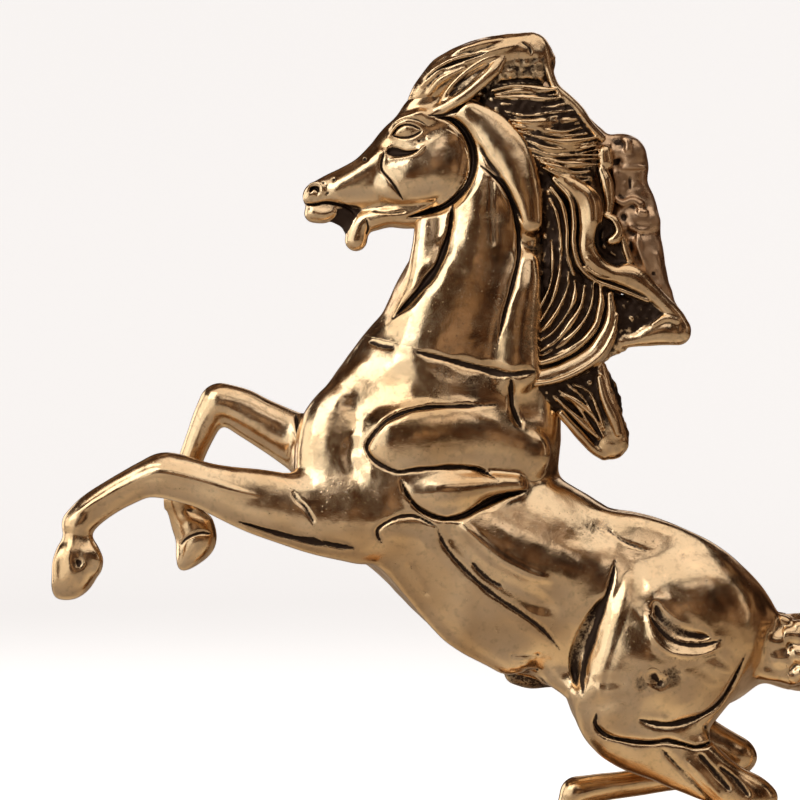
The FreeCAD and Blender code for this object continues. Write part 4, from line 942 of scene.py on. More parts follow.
# Locks: (blend, stations)
NEAR_LOCKS = [
    # forelock swept back over the poll
    (1, [
        (-78.6, 304.8, 1.4, 2.6, 2), (-75.8, 307, 3.3, 4, 2.8), (-71.6, 310, 5.4, 4.4, 3.6),
        (-65.4, 315.4, 6.6, 5, 4.8), (-55, 320.2, 6.6, 5, 5.4), (-46, 322.8, 5.8, 5, 5.4),
        (-38.6, 324, 5.4, 4.8, 4.6), (-35.6, 324.2, 5, 4.4, 4),
    ]),
    (0.7, [
        (-74.4, 310.6, 1.1, 2, 6), (-70.6, 315, 1.8, 2.6, 7.6), (-65, 318.8, 1.5, 2.4, 8.4),
        (-59, 320.8, 0.9, 1.8, 9),
    ]),
    (0.7, [
        (-67, 318.6, 0.9, 1.8, 6.8), (-61.4, 322.2, 1.6, 2.4, 7.8), (-54, 324.6, 1.8, 2.6, 8.2),
        (-47, 326.4, 1, 1.8, 8),
    ]),
    (0.7, [
        (-72.4, 307.8, 0.9, 1.8, 6.4), (-69, 311.6, 1.5, 2.2, 7.8), (-64.4, 314.4, 1.3, 2, 8.6),
        (-60, 316.4, 0.8, 1.6, 9),
    ]),
    (0.7, [
        (-60, 318.8, 0.8, 1.6, 9), (-54.4, 321, 1.3, 2, 9.2), (-48, 323, 1.2, 2, 9),
        (-42, 324.4, 0.8, 1.6, 8.4),
    ]),
    # the plain facet behind it, and the smooth border down the back of the upper mane
    (1.2, [(-45, 321.4, 2.6, 3.4, 6), (-39, 322.4, 4.2, 3.6, 6), (-34.6, 322, 3.6, 3.2, 5.6)]),
    (0.8, [
        (-36, 327.4, 1.9, 2.6, 4.4), (-32.6, 324.8, 2.1, 3, 4.8), (-31, 317.6, 1.7, 3, 5),
        (-28, 310, 1.7, 3, 5), (-21, 303.4, 1.8, 3, 4.8), (-16.4, 297.2, 1.7, 2.8, 4.6),
        (-12, 292.6, 1.6, 2.4, 4),
    ]),
    # the broad S-shaped lock
    (0.8, [
        (-29, 280.4, 1.4, 2.4, 8.4), (-23.6, 276.2, 3.2, 3.4, 8.4), (-17.6, 270.6, 4.8, 3.8, 8),
        (-16.4, 262.6, 4.6, 4, 7.4), (-17.2, 254.6, 3.8, 3.8, 7), (-14.6, 249, 4.2, 3.8, 6.4),
        (-8.6, 245.4, 3.6, 3.8, 5.6), (-1.4, 243.8, 4.6, 3.8, 5), (6, 238.2, 3.2, 3.4, 4),
        (13.4, 230.8, 3, 3, 3), (16, 226.6, 3, 2.6, 2.4),
    ]),
    (0.6, [
        (-22, 276.4, 1.6, 1.6, 10.4), (-17, 271.4, 2.4, 2, 10.4), (-15.4, 263, 2.2, 2, 10),
        (-16, 255.6, 1.6, 1.8, 9.2),
    ]),
    (0.4, [
        (-29, 278, 0.8, 1.6, 9), (-23.4, 271.4, 1.1, 2.2, 10), (-22, 264, 1, 2.2, 10),
        (-22, 255, 1, 2.2, 9.4), (-20, 248, 1, 2.2, 8.4), (-14.4, 242.8, 1, 2.4, 7),
        (-5.6, 239.6, 1, 2.4, 6), (4, 235.8, 0.9, 2.2, 4.6),
    ]),
    (0.4, [
        (-30, 275, 0.7, 1.6, 9), (-26, 269, 0.9, 2, 9.8), (-24.4, 261, 0.8, 2, 9.8),
        (-24.2, 252, 0.7, 1.8, 9.2), (-22, 245, 0.6, 1.6, 8.4),
    ]),
    (0.4, [
        (-30.4, 271, 0.6, 1.4, 9), (-28, 266, 0.7, 1.8, 9.6), (-26.6, 258, 0.6, 1.6, 9.4),
        (-26.4, 250, 0.5, 1.4, 9),
    ]),
    (0.4, [(-17, 250.4, 0.7, 1.4, 9.4), (-13.4, 247.4, 0.8, 1.6, 8.4), (-8.6, 245.8, 0.7, 1.4, 7.8)]),
    (0.4, [(-18, 247.4, 0.6, 1.4, 8.8), (-13.4, 244.4, 0.7, 1.6, 8), (-7, 243, 0.6, 1.4, 7.4)]),
    # pearl and curl in the hollow of the S
    (0.5, [
        (-10.6, 265.6, 1.2, 1.8, 5), (-7.6, 263.8, 1.6, 2.4, 5.4), (-6, 260, 1.8, 2.6, 5.4),
        (-7.4, 257.4, 2.2, 2.8, 5.4), (-9, 256.8, 1.9, 2.4, 5.4),
    ]),
    (0.5, [
        (-12, 281.4, 1.9, 2.4, 3.8), (-10.4, 277, 2.5, 2.8, 4), (-9.4, 271, 2.1, 2.6, 4),
        (-9.8, 266, 1.3, 2, 4),
    ]),
    (0.8, [(-11, 287.6, 2.8, 2.8, 3.4), (-10.6, 284.4, 3, 2.8, 3.4)]),
    (0.5, [(-4.6, 259, 1.1, 2, 3.6), (-3.8, 254.6, 1.4, 2.2, 3.6), (-2.2, 250, 1.5, 2, 3.6)]),
    # tip of the mane
    (1.2, [
        (-4.6, 221.6, 2.2, 2.4, 3), (0.4, 222.4, 2.6, 2.6, 3.6), (5, 224, 4, 3.2, 3.6),
        (10.6, 225.4, 5, 3.6, 3.2), (14.8, 225, 4.6, 3, 2.6),
    ]),
    (0.8, [(6, 227.4, 1, 1.6, 5.4), (10, 229.6, 1.4, 1.8, 5.2), (14, 229, 1.4, 1.8, 4.4)]),
    # long lower lock that curls up into the fan
    (0.6, [
        (-45, 206.8, 1.8, 3, 11), (-35.6, 208.4, 3, 3.6, 10.2), (-25.6, 211.2, 3.6, 3.8, 9),
        (-17, 215.4, 3.9, 3.8, 8), (-11.6, 221.4, 3.8, 3.6, 7), (-9, 229, 2.8, 3.2, 6.4),
        (-9.2, 238, 1.4, 2.2, 6),
    ]),
    (0.5, [
        (-40, 206.4, 0.9, 2, 13), (-30, 207.6, 1.2, 2.4, 12), (-20.6, 211.2, 1.3, 2.4, 10.8),
        (-12.6, 217, 1.3, 2.4, 9.4), (-8.4, 224, 1.1, 2.2, 8.4), (-6.8, 231, 0.7, 1.8, 7.4),
    ]),
    (0.4, [
        (-38, 213, 0.9, 1.8, 11.4), (-29, 215.4, 1.3, 2.2, 10.8), (-20.6, 220, 1.4, 2.2, 9.8),
        (-14.8, 226.4, 1.3, 2.2, 9), (-12.6, 233, 1.1, 2, 8.2), (-12.6, 241, 0.7, 1.6, 7.4),
    ]),
    # lower tuft
    (1, [
        (-12.6, 212.6, 2.4, 3, 5), (-12, 206, 3.4, 3.4, 5), (-10.4, 199, 4.2, 3.6, 4.8),
        (-8.4, 192, 4.8, 3.8, 4.4), (-8.4, 186.4, 5.8, 3.8, 3.8),
    ]),
    (0.6, [
        (-13, 209, 1.1, 1.6, 8.4), (-11.4, 202, 1.5, 2, 8.4), (-8.4, 195, 1.7, 2, 8.2),
        (-6.6, 189.6, 1.2, 1.6, 7.4),
    ]),
    (0.6, [
        (-26, 196.6, 1.6, 2.6, 6), (-20.6, 190.6, 1.9, 2.8, 5), (-15, 184.6, 1.9, 2.8, 4),
        (-11, 182.4, 2.2, 2.8, 3.6),
    ]),
]
# Thin locks, each a path of (x, z, half width, y from middle)
CREST_STRANDS = [
    [(-50, 308.5, 1, 8.6), (-42, 310, 1.3, 8.4), (-34, 309.6, 1.2, 7.6), (-28.6, 309, 0.8, 6.8)],
    [(-49, 306, 0.8, 8.8), (-40, 306.6, 1, 8.6), (-31, 306, 0.9, 7.6), (-26, 306, 0.7, 6.8)],
    [(-46, 301.4, 0.7, 8.8), (-38, 300.4, 0.8, 8.6), (-29, 300.8, 0.8, 7.4), (-21.6, 302, 0.6, 6.4)],
    [(-44, 299, 0.9, 9), (-36, 297.6, 1.4, 9.2), (-28, 297.6, 1.4, 8), (-21, 299.4, 0.8, 6.6)],
    [(-42, 296.4, 0.7, 9), (-34, 294.8, 0.9, 9), (-26, 294.6, 1, 8), (-19.4, 296.4, 0.7, 6.4)],
    [(-41, 294, 0.8, 9.4), (-33, 291.9, 1.1, 9.2), (-24, 291.4, 1.3, 8.2), (-13.6, 292.4, 0.8, 6)],
    [(-39, 291, 0.7, 9.6), (-31, 288.9, 0.8, 9.2), (-22, 288.3, 0.9, 7.8), (-14, 289.4, 0.7, 6)],
    [(-38, 289, 0.8, 9.8), (-30, 286.7, 0.9, 9.4), (-22, 285.8, 0.9, 8), (-14, 286.6, 0.7, 6)],
    [(-36, 286.6, 0.7, 10), (-29, 284, 0.8, 9.4), (-22, 283, 0.9, 8), (-14, 283.8, 0.7, 6)],
    [(-34, 284, 0.7, 10.4), (-28, 281.6, 0.8, 9.6), (-22, 280.6, 0.8, 8.2), (-16, 281, 0.7, 6.4)],
    [(-33, 281.4, 0.6, 10.6), (-27, 279, 0.7, 10), (-21, 277.8, 0.7, 8.4), (-16, 277.4, 0.6, 7)],
]
FAN_STRANDS = [
    [
        (-12.6, 241, 0.7, 7.4), (-13, 233, 1, 8), (-16, 226, 1.1, 8.8), (-22, 220, 1, 9.4),
        (-31, 215.6, 0.7, 10),
    ],
    [
        (-15.4, 241.6, 0.6, 7.8), (-16, 234, 0.9, 8.6), (-19.6, 227, 1, 9.4), (-25.6, 220.6, 0.9, 10),
        (-33, 217, 0.6, 10.8),
    ],
    [
        (-18, 241, 0.6, 8.4), (-19, 234.6, 0.8, 9), (-22.6, 228.4, 0.9, 10), (-28, 222, 0.8, 10.8),
        (-34, 218.6, 0.6, 11.4),
    ],
    [
        (-21, 243, 0.6, 9), (-22, 236.4, 0.8, 9.8), (-25, 230.4, 0.8, 10.6), (-29.6, 225, 0.7, 11.2),
        (-34, 221.6, 0.5, 11.8),
    ],
    [
        (-24, 246, 0.5, 9.6), (-24.6, 240, 0.7, 10.2), (-27, 233.6, 0.7, 11), (-30.4, 228, 0.7, 11.6),
        (-34, 224, 0.5, 12),
    ],
    [
        (-27, 250, 0.5, 9.6), (-27, 244, 0.6, 10.4), (-28.6, 237.6, 0.6, 11), (-31.6, 231.6, 0.6, 11.6),
        (-35, 227, 0.5, 12),
    ],
    [
        (-29.4, 256, 0.4, 9.6), (-29, 249, 0.6, 10.4), (-30.2, 242, 0.6, 11), (-32.8, 235.6, 0.6, 11.6),
        (-36, 230, 0.5, 12),
    ],
]
TUFT_STRANDS = [
    [(-30, 203.6, 0.6, 9), (-23.6, 198.6, 0.8, 8.4), (-18, 192.4, 0.8, 7.4), (-13.6, 187.4, 0.6, 6.6)],
    [(-27, 205, 0.6, 9), (-20.4, 200.6, 0.8, 8.4), (-15.4, 194.4, 0.8, 7.6), (-11.6, 188.8, 0.6, 7)],
    [(-22, 207, 0.6, 8.4), (-17, 203.6, 0.8, 8), (-13.6, 197.6, 0.7, 7.6), (-11, 191.6, 0.5, 7.2)],
]
FAR_SLABS = [
    (3, [
        (-52, 311, 6, 4, 4), (-44, 309, 8, 5, 5), (-34, 304, 10, 5, 5), (-24, 296, 9, 5, 5),
        (-14, 288, 8, 4.6, 4.4),
    ]),
    (3, [
        (-34, 288, 9, 5, 7), (-28, 270, 9, 5, 8), (-26, 250, 9, 5, 8), (-28, 230, 9, 5, 8),
        (-30, 215, 8, 5, 8),
    ]),
    (3, [
        (-18, 280, 9, 4, 5), (-16, 262, 9, 4, 4), (-14, 246, 9, 4, 4), (-14, 230, 9, 4, 4),
        (-18, 218, 7, 4, 4),
    ]),
    (2, [
        (-5, 287.4, 7.4, 4, 3), (-3.2, 286, 7.8, 4, 3), (-2.8, 276, 8, 4, 3), (0.4, 265, 8.4, 4, 3),
        (1.4, 256, 8.2, 4, 3), (4, 246, 7.4, 4, 3), (7, 237, 6, 3.6, 3), (13.4, 228.6, 4.8, 3, 2.8),
    ]),
]
# The far casting's ragged edge, which shows past the near one: lumps, then pits of
# (half width, depth, darkness, path)
FAR_LUMPS = [
    (1.6, [(-5.6, 288.6, 4, 2.6, 0.6), (-1.6, 288.2, 4.8, 3, 0.6), (-1.2, 287.2, 4.8, 3, 0.6)]),
    (1.6, [(-5, 264.6, 3.2, 2.6, 0.8), (0, 264.4, 3.8, 2.8, 0.4), (4.6, 263.6, 4.2, 2.8, 0.6)]),
    (1.6, [(-0.6, 255, 3, 2.6, 0.8), (4.4, 255, 4.6, 2.8, 0.8), (5.6, 249.8, 4.8, 2.8, 0.8)]),
    (1.6, [(5, 245.6, 4, 2.6, 1), (7.8, 241, 4.2, 2.6, 1), (9.6, 236, 4, 2.6, 1.2)]),
    (0.6, [(-4.6, 292.4, 1, 1.2, -1.4), (-2.8, 291.4, 1.4, 1.2, -2), (-2.8, 288.8, 1.3, 1.2, -2.2)]),
    (0.8, [(-4.6, 282.4, 0.9, 1.4, -0.4), (-0.6, 282.6, 1, 1.4, -0.6), (3.4, 282.8, 0.8, 1.4, -0.2)]),
    (0.6, [(-7.4, 281, 0.9, 1.6, 0), (-6.6, 277, 0.8, 1.4, -0.2), (-6.8, 273, 0.8, 1.4, -0.2)]),
    (0.8, [
        (-6.6, 271.2, 1.2, 1.6, -0.6), (-4.4, 270, 1.4, 1.6, -0.8), (-1, 271.2, 1.5, 1.6, -1),
        (1.6, 269.6, 1.7, 1.6, -1),
    ]),
    (0.6, [(1.6, 267, 1.3, 1.2, -1.8), (3.2, 266.8, 1.2, 1.2, -1.8)]),
    (0.6, [(-1.4, 262, 1.5, 1.4, -1.6), (0.8, 260.8, 1.4, 1.4, -1.4), (3.6, 260.8, 1.1, 1.2, -1.2)]),
    (0.6, [(-5.4, 262.6, 1.4, 1.6, -0.8), (-4.4, 261.4, 1.3, 1.4, -0.8)]),
    (0.8, [(1, 258.6, 0.9, 1.2, -1.2), (1.6, 253, 1, 1.4, -1.2), (3.8, 248, 0.9, 1.2, -1)]),
    (0.8, [(7.4, 252, 1, 1.2, -1.2), (8.6, 246, 1.1, 1.2, -0.8), (10.6, 240, 1, 1.2, -0.4)]),
]
FAR_PITS = [
    (1.3, 1.6, 0.9, [(-6.4, 292), (-6, 290.6)]),
    (1.4, 1.6, 0.9, [(-7, 285.4), (-5.8, 284)]),
    (3.6, 1.3, 0, [(-3.6, 277), (0, 277)]),
    (0.9, 1.6, 0.9, [(-4.6, 266.4), (-3.4, 264)]),
    (0.7, 1.6, 0.9, [(-1.7, 257), (-1.6, 252.8)]),
    (0.6, 0.8, 0.9, [(5.8, 246), (6.6, 245)]),
    (0.5, 0.8, 0.9, [(6.6, 240.4), (7.2, 239.8)]),
]
# The far side's broad locks: (number of strands, stations)
FAR_LOCKS = [
    (4, [
        (-44, 308, 3, 3, 8), (-34, 305, 5, 4, 8), (-24, 298, 5.4, 4, 7.4), (-13, 290, 4.6, 4, 6.4),
        (-3, 286, 4.2, 3.6, 5.4),
    ]),
    (4, [
        (-36, 292, 4, 3.6, 10), (-28, 284, 5, 4, 9.4), (-17, 279, 5, 4, 8), (-6, 273, 4.6, 3.8, 6.8),
        (1, 264, 4, 3.4, 6),
    ]),
    (4, [
        (-32, 272, 4, 3.6, 11), (-25, 262, 5, 4, 10), (-14, 256, 5.2, 4, 8.4), (-2, 250, 4.6, 3.8, 7),
        (6, 241, 4, 3.2, 6), (12.6, 231, 3.2, 2.8, 4.6),
    ]),
    (4, [
        (-32, 250, 4, 3.6, 11.4), (-26, 240, 5, 4, 10.4), (-15, 234, 5.2, 4, 8.6),
        (-3, 229, 4.6, 3.6, 6.6), (8, 224.8, 3.4, 2.8, 4.8),
    ]),
    (4, [(-34, 228, 4, 3.6, 12), (-28, 219, 5, 4, 11), (-18, 215, 5, 4, 9), (-11, 218, 3.4, 3, 7)]),
    (3, [(-36, 212, 3.6, 3.4, 12), (-28, 206, 4, 3.6, 10.4), (-18, 202, 4, 3.4, 8)]),
]

# Cuts between the near locks: (half width, depth, darkness, reach from the middle, path)
MANE_MARKS = [
    (0.6, 1, 0.95, 2, [(-74, 312), (-69, 316), (-63.6, 318.4), (-57.6, 320), (-52, 322)]),
    (2.4, 0.2, 0.4, 2, [(-71, 309), (-65, 313), (-59, 317.6)]),
    (1.8, 0.2, 0.36, 2, [(-70, 317), (-63, 321), (-56, 323.6)]),
    (3, 1, 0.5, 1, [(-44, 313.6), (-38, 315), (-34.6, 316.6)]),
    (0.8, 0.9, 1, 1, [(-48, 311.6), (-40, 312.6), (-33, 312)]),
    # the deep gap beside the S-lock, darkened fully as painted shade
    (1.8, 1.6, 1, 1, [(-12.6, 262.6), (-13.4, 257), (-11.6, 252.8), (-7.4, 250), (-5.2, 248.6)]),
    (0.6, 0.6, 0.7, 2, [(-40, 325.6), (-37.4, 323.6), (-36.6, 321)]),
]
INNER_FACE = -1.6  # from here on, the near mane lies against the far one and is left almost plain
INNER_DARK = 0.2
MANE_LAP = 0.05


def press_locks(clay, locks, side):
    for blend, stations in locks:
        clay.press(stations, side, blend)


clay = Clay((-80, -16, 176), (24, 2.5, 334), voxel=0.4)
for blend, dark, stations in NEAR_SLABS:
    clay.press(stations, -1, blend, dark=dark)
clay.ripple(3.2, 0.26, 4)
clay.ripple(5.6, 0.2, 3)
clay.strands(CREST_STRANDS, -1, fill=True)
clay.strands(FAN_STRANDS, -1, fill=False)
clay.strands(TUFT_STRANDS, -1, fill=True)
press_locks(clay, NEAR_LOCKS, -1)
for width, depth, dark, reach, path in MANE_MARKS:
    clay.carve(path, width, depth, dark, -1, reach=reach)
clay.ripple(9, 0.1, 2)
clay.dark[:, round((INNER_FACE - clay.low[1]) / clay.voxel) :] *= INNER_DARK
clay.cut(lambda x, y, z: y + MANE_LAP + 0 * x)
finish_piece(clay, "near_mane", "near_mane_casting", POLISHED)

clay = Clay((-66, -5, 190), (24, 17, 330), voxel=0.45)
press_locks(clay, FAR_SLABS, 1)
for strands, stations in FAR_LOCKS:
    clay.press(stations, 1, 0.9, strands=strands, groove=0.8, twist=0.15)
press_locks(clay, FAR_LUMPS, 1)
for width, depth, dark, path in FAR_PITS:
    clay.carve(path, width, depth, dark, -1, reach=-4)
clay.soften(0.5)
clay.ripple(8, 0.2, 3, ((-12, -5, 200), (24, 6, 300)))
clay.cut(lambda x, y, z: np.minimum(MANE_LAP - y, -8.5 - x) + 0 * z)
finish_piece(clay, "far_mane", "far_mane_casting", MATTE)


# ----------------------------------------------------------------------------------------------------
# Materials
# ----------------------------------------------------------------------------------------------------


class Shader:
    """A material's node tree, built up by name."""

    def __init__(self, name):
        self.material = bpy.data.materials.new(name)
        self.material.use_nodes = True
        self.tree = self.material.node_tree
        self.tree.nodes.clear()
        self.output = self.add("ShaderNodeOutputMaterial")
        self.surface = self.add("ShaderNodeBsdfPrincipled")
        self.link(self.surface, "BSDF", self.output, "Surface")
        self.position = self.add("ShaderNodeNewGeometry")

    def add(self, kind, **values):
        node = self.tree.nodes.new(kind)
        for key, value in values.items():
            setattr(node, key, value)
        return node

    def link(self, a, out, b, into):
        self.tree.links.new(a.outputs[out], b.inputs[into])

    def noise(self, scale, detail=3.0, rough=0.5, stretch=None):
        """Noise over the object's own place, in features per metre."""
        node = self.add("ShaderNodeTexNoise")
        node.inputs["Scale"].default_value = scale
        node.inputs["Detail"].default_value = detail
        node.inputs["Roughness"].default_value = rough
        source, out = self.position, "Position"
        if stretch:
            mapping = self.add("ShaderNodeMapping")
            mapping.inputs["Scale"].default_value = stretch
            self.link(source, out, mapping, "Vector")
            source, out = mapping, "Vector"
        self.link(source, out, node, "Vector")
        return node

    def ramp(self, source, out, stops):
        """Values between stops of (where, grey or colour)."""
        node = self.add("ShaderNodeValToRGB")
        elements = node.color_ramp.elements
        while len(elements) < len(stops):
            elements.new(0.5)
        for element, (at, value) in zip(elements, stops):
            element.position = at
            element.color = (*value, 1) if isinstance(value, tuple) else (value, value, value, 1)
        self.link(source, out, node, "Fac")
        return node

    def math(self, operation, a, b, clamp=False):
        node = self.add("ShaderNodeMath", operation=operation, use_clamp=clamp)
        for i, value in enumerate((a, b)):
            if isinstance(value, tuple):
                self.tree.links.new(value[0].outputs[value[1]], node.inputs[i])
            else:
                node.inputs[i].default_value = value
        return node

    def mix(self, factor, a, b):
        """Mixes two colours; each is a colour or (node, output)."""
        node = self.add("ShaderNodeMix", data_type="RGBA")
        for index, value in ((0, factor), (6, a), (7, b)):
            if isinstance(value, tuple) and isinstance(value[0], bpy.types.Node):
                self.tree.links.new(value[0].outputs[value[1]], node.inputs[index])
            elif index == 0:
                node.inputs[0].default_value = value
            else:
                node.inputs[index].default_value = (*value, 1)
        return node

    def bump(self, height, out, strength, distance, under=None):
        node = self.add("ShaderNodeBump")
        node.inputs["Strength"].default_value = strength
        node.inputs["Distance"].default_value = distance
        self.link(height, out, node, "Height")
        if under:
            self.link(under, "Normal", node, "Normal")
        return node


PATINA_AND_SHADE = (0.045, 0.028, 0.020)


def bronze(name, light, deep, rough, grime):
    """Cast bronze between two tints, rubbed to a roughness, with patina in the recesses and some grime; the
    same dark colour also carries the marks' painted shade and painted dark reflection.
    """
    shader = Shader(name)
    patina_and_shade = shader.add("ShaderNodeAttribute", attribute_name="patina_and_shade")
    broad = shader.noise(38, 2, 0.5)
    fine = shader.noise(420, 5, 0.65)
    grit = shader.noise(1500, 3, 0.6)
    tone = shader.ramp(broad, "Fac", [(0.32, deep), (0.62, light)])
    # patina sits in the recesses, with a ragged edge, together with the painted shade and painted dark
    # reflection that some marks carry
    specks = shader.noise(1150, 4, 0.7)
    ragged = shader.math("ADD", (patina_and_shade, "Fac"), (shader.math("MULTIPLY", (specks, "Fac"), 0.9), 0))
    ragged = shader.math("ADD", (ragged, 0), (shader.math("MULTIPLY", (fine, "Fac"), 0.4), 0))
    amount = shader.ramp(shader.math("MULTIPLY", (ragged, 0), 0.5), 0, [(0.50, 0.0), (0.68, 1.0)])
    haze = shader.ramp(fine, "Fac", [(0.52, 0.0), (0.80, grime)])
    amount = shader.math("MAXIMUM", (amount, "Color"), (haze, "Color"))
    colour = shader.mix((amount, 0), (tone, "Color"), PATINA_AND_SHADE)
    shader.link(colour, 2, shader.surface, "Base Color")
    shader.surface.inputs["Metallic"].default_value = 1.0
    wear = shader.ramp(shader.noise(160, 4, 0.6), "Fac", [(0.3, rough * 0.6), (0.75, rough * 1.5)])
    roughness = shader.mix((amount, 0), (wear, "Color"), (0.55, 0.55, 0.55))
    shader.link(roughness, 2, shader.surface, "Roughness")
    pits = shader.add("ShaderNodeTexVoronoi")
    pits.inputs["Scale"].default_value = 520
    shader.link(shader.position, "Position", pits, "Vector")
    pit = shader.ramp(pits, "Distance", [(0.0, 0.0), (0.16, 1.0)])
    waves = shader.bump(shader.noise(95, 2, 0.45), "Fac", 0.35, 0.0012)
    chased = shader.bump(fine, "Fac", 0.16, 0.0003, waves)
    pitted = shader.bump(pit, "Color", 0.22, 0.0002, chased)
    gritty = shader.bump(grit, "Fac", 0.10, 0.0001, pitted)
    shader.link(gritty, "Normal", shader.surface, "Normal")
    return shader.material


def felt_material():
    shader = Shader("felt")
    fibre = shader.noise(2600, 4, 0.7)
    blotch = shader.noise(60, 3, 0.5)
    tone = shader.ramp(blotch, "Fac", [(0.3, (0.018, 0.060, 0.030)), (0.7, (0.034, 0.098, 0.052))])
    shader.link(tone, "Color", shader.surface, "Base Color")
    shader.surface.inputs["Roughness"].default_value = 0.95
    shader.surface.inputs["Sheen Weight"].default_value = 0.5
    shader.link(shader.bump(fibre, "Fac", 0.6, 0.0004), "Normal", shader.surface, "Normal")
    return shader.material


def steel_material():
    shader = Shader("steel")
    streak = shader.noise(700, 3, 0.6, (1, 1, 0.15))
    tone = shader.ramp(streak, "Fac", [(0.3, (0.42, 0.43, 0.45)), (0.7, (0.62, 0.63, 0.64))])
    shader.link(tone, "Color", shader.surface, "Base Color")
    shader.surface.inputs["Metallic"].default_value = 1.0
    rough = shader.ramp(streak, "Fac", [(0.3, 0.28), (0.7, 0.42)])
    shader.link(rough, "Color", shader.surface, "Roughness")
    shader.link(shader.bump(streak, "Fac", 0.2, 0.0002), "Normal", shader.surface, "Normal")
    return shader.material


def coat(obj, material):
    obj.data.materials.clear()
    obj.data.materials.append(material)


POLISHED_BRONZE = bronze("polished_bronze", (0.77, 0.56, 0.345), (0.60, 0.39, 0.205), 0.18, 0.35)
MATTE_BRONZE = bronze("matte_bronze", (0.60, 0.40, 0.25), (0.42, 0.26, 0.15), 0.33, 0.5)
for made in pieces:
    coat(made, MATTE_BRONZE if made["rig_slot"] == MATTE else POLISHED_BRONZE)
MATERIALS = {
    "felt": felt_material(), "steel": steel_material(), POLISHED: POLISHED_BRONZE, MATTE: MATTE_BRONZE,
}
for entry in frame["record"]["subparts"]:
    node = frame["nodes"][entry["node"]]
    if not node.hide_render:
        coat(node, MATERIALS[entry["material_slot"]])

# ----------------------------------------------------------------------------------------------------
# Studio
# ----------------------------------------------------------------------------------------------------

CAMERA_AIM = Vector((-0.08225, 0, 0.20125))
CAMERA_DISTANCE = 1.2
FRAME_WIDTH = 0.28
SENSOR_WIDTH = 36.0
FLOOR_RADIUS = 2.2
COVE = 0.6


def softbox(name, at, width, height, radiance, colour):
    """A rectangle of light that faces the camera's aim and shows only in reflections."""
    data = bpy.data.lights.new(name, "AREA")
    data.shape = "RECTANGLE"
    data.size = width
    data.size_y = height
    data.energy = radiance * math.pi * width * height
    data.color = colour
    made = bpy.data.objects.new(name, data)
    made.location = at
    made.rotation_euler = (CAMERA_AIM - Vector(at)).to_track_quat("-Z", "Y").to_euler()
    made.visible_camera = False
    bpy.context.scene.collection.objects.link(made)


def studio_room():
    """A pale floor that rises all round into a pale wall and ceiling."""
    profile = [(0.0, 0.0), (FLOOR_RADIUS, 0.0)]
    for i in range(1, 9):
        turn = math.radians(90 * i / 8)
        profile.append((FLOOR_RADIUS + COVE * math.sin(turn), COVE - COVE * math.cos(turn)))
    profile += [(2.8, 3.0), (0.0, 3.2)]
    spokes = 48
    verts = []
    for radius, height in profile:
        for k in range(spokes + 1):
            turn = 2 * math.pi * k / spokes
            verts.append((radius * math.cos(turn), radius * math.sin(turn), height))
    faces = []
    for i in range(len(profile) - 1):
        for k in range(spokes):
            a = i * (spokes + 1) + k
            faces.append((a, a + 1, a + spokes + 2, a + spokes + 1))
    return verts, faces


def stage_mesh(name, verts, faces, rows):
    """A stage sheet that gives off its own colour, blotched between the ramp's rows."""
    data = bpy.data.meshes.new(name)
    data.from_pydata(verts, [], faces)
    data.polygons.foreach_set("use_smooth", [True] * len(faces))
    made = bpy.data.objects.new(name, data)
    bpy.context.scene.collection.objects.link(made)
    shader = Shader(name)
    tone = shader.ramp(shader.noise(4.6, 2, 0.5), "Fac", rows)
    shader.surface.inputs["Base Color"].default_value = (0.92, 0.92, 0.92, 1)
    shader.surface.inputs["Roughness"].default_value = 0.9
    shader.surface.inputs["Specular IOR Level"].default_value = 0.0
    shader.link(tone, "Color", shader.surface, "Emission Color")
    shader.surface.inputs["Emission Strength"].default_value = 1.0
    made.data.materials.append(shader.material)
    return made


floor = stage_mesh("floor", *studio_room(), [(0.0, 0.78), (1.0, 0.78)])
floor.visible_glossy = False
floor.visible_diffuse = False
table_corners = [(-1.3, -1.3, -0.003), (1.1, -1.3, -0.003), (1.1, 0.9, -0.003), (-1.3, 0.9, -0.003)]
table_tones = [(0.40, (0.022, 0.014, 0.008)), (0.50, (0.10, 0.072, 0.040)), (0.64, (0.40, 0.34, 0.22))]
table = stage_mesh("table_glow", table_corners, [(0, 1, 2, 3)], table_tones)
table.visible_camera = False
table.visible_diffuse = False

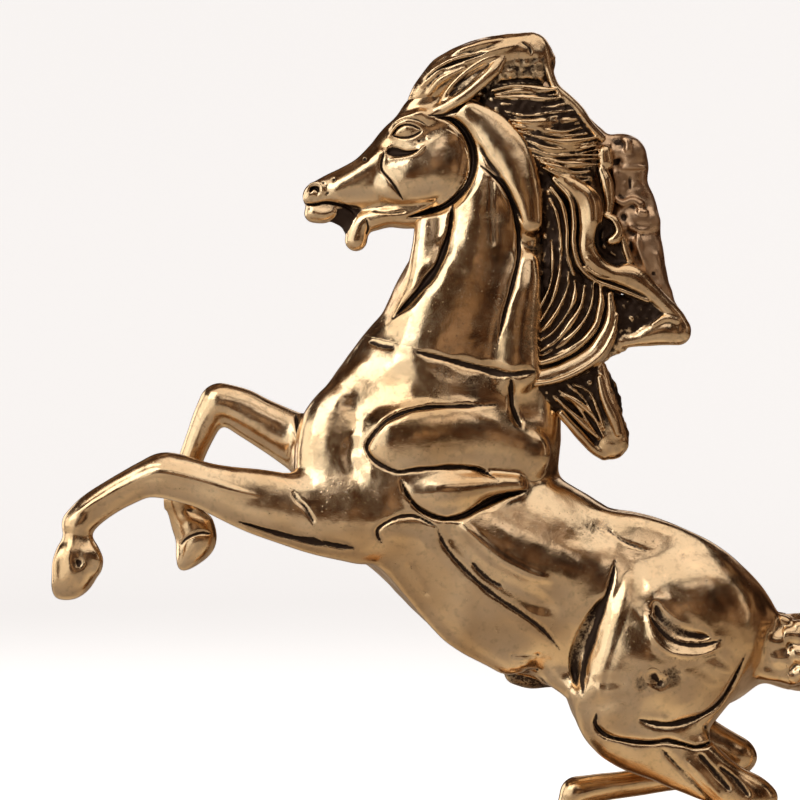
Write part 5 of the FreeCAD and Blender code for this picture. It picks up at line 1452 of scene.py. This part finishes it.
softbox("key", (-0.85, -0.75, 1.0), 0.8, 0.7, 2.7, (0.96, 0.99, 1.0))
softbox("overhead", (0.10, -0.45, 1.22), 1.6, 0.9, 1.15, (1.0, 0.97, 0.92))
softbox("front_high", (0.30, -1.3, 1.05), 0.9, 0.3, 1.0, (1.0, 0.98, 0.95))
softbox("left", (-1.25, -0.30, 0.45), 0.9, 0.8, 1.6, (0.97, 1.0, 0.98))
softbox("front_left", (-0.95, -1.0, 0.36), 0.75, 0.8, 1.2, (0.97, 1.0, 0.98))
softbox("back_left", (-1.2, 0.75, 0.40), 0.9, 0.9, 1.9, (1.0, 0.99, 0.96))
softbox("right_strip", (1.2, -0.5, 0.5), 0.12, 0.8, 1.0, (1.0, 0.93, 0.84))
softbox("behind", (0.3, 1.2, 0.9), 1.0, 0.4, 1.0, (1.0, 0.95, 0.9))

world = bpy.data.worlds.new("room")
world.use_nodes = True
around = world.node_tree.nodes
mottle = around.new("ShaderNodeTexNoise")
mottle.inputs["Scale"].default_value = 3.4
mottle.inputs["Detail"].default_value = 3.0
shades = around.new("ShaderNodeValToRGB")
shades.color_ramp.elements[0].position = 0.40
shades.color_ramp.elements[0].color = (0.022, 0.012, 0.008, 1)
shades.color_ramp.elements[1].position = 0.72
shades.color_ramp.elements[1].color = (0.44, 0.31, 0.21, 1)
shades.color_ramp.elements.new(0.55).color = (0.10, 0.050, 0.026, 1)
place = around.new("ShaderNodeTexCoord")
world.node_tree.links.new(place.outputs["Generated"], mottle.inputs["Vector"])
world.node_tree.links.new(mottle.outputs["Fac"], shades.inputs["Fac"])
world.node_tree.links.new(shades.outputs["Color"], around["Background"].inputs["Color"])
bpy.context.scene.world = world
bpy.context.scene.view_settings.view_transform = "Standard"

lens = bpy.data.cameras.new("camera")
lens.sensor_width = SENSOR_WIDTH
lens.lens = SENSOR_WIDTH * CAMERA_DISTANCE / FRAME_WIDTH
camera = bpy.data.objects.new("camera", lens)
camera.location = CAMERA_AIM - Vector((0, CAMERA_DISTANCE, 0))
camera.rotation_euler = (math.radians(90), 0, 0)
bpy.context.scene.collection.objects.link(camera)
bpy.context.scene.camera = camera
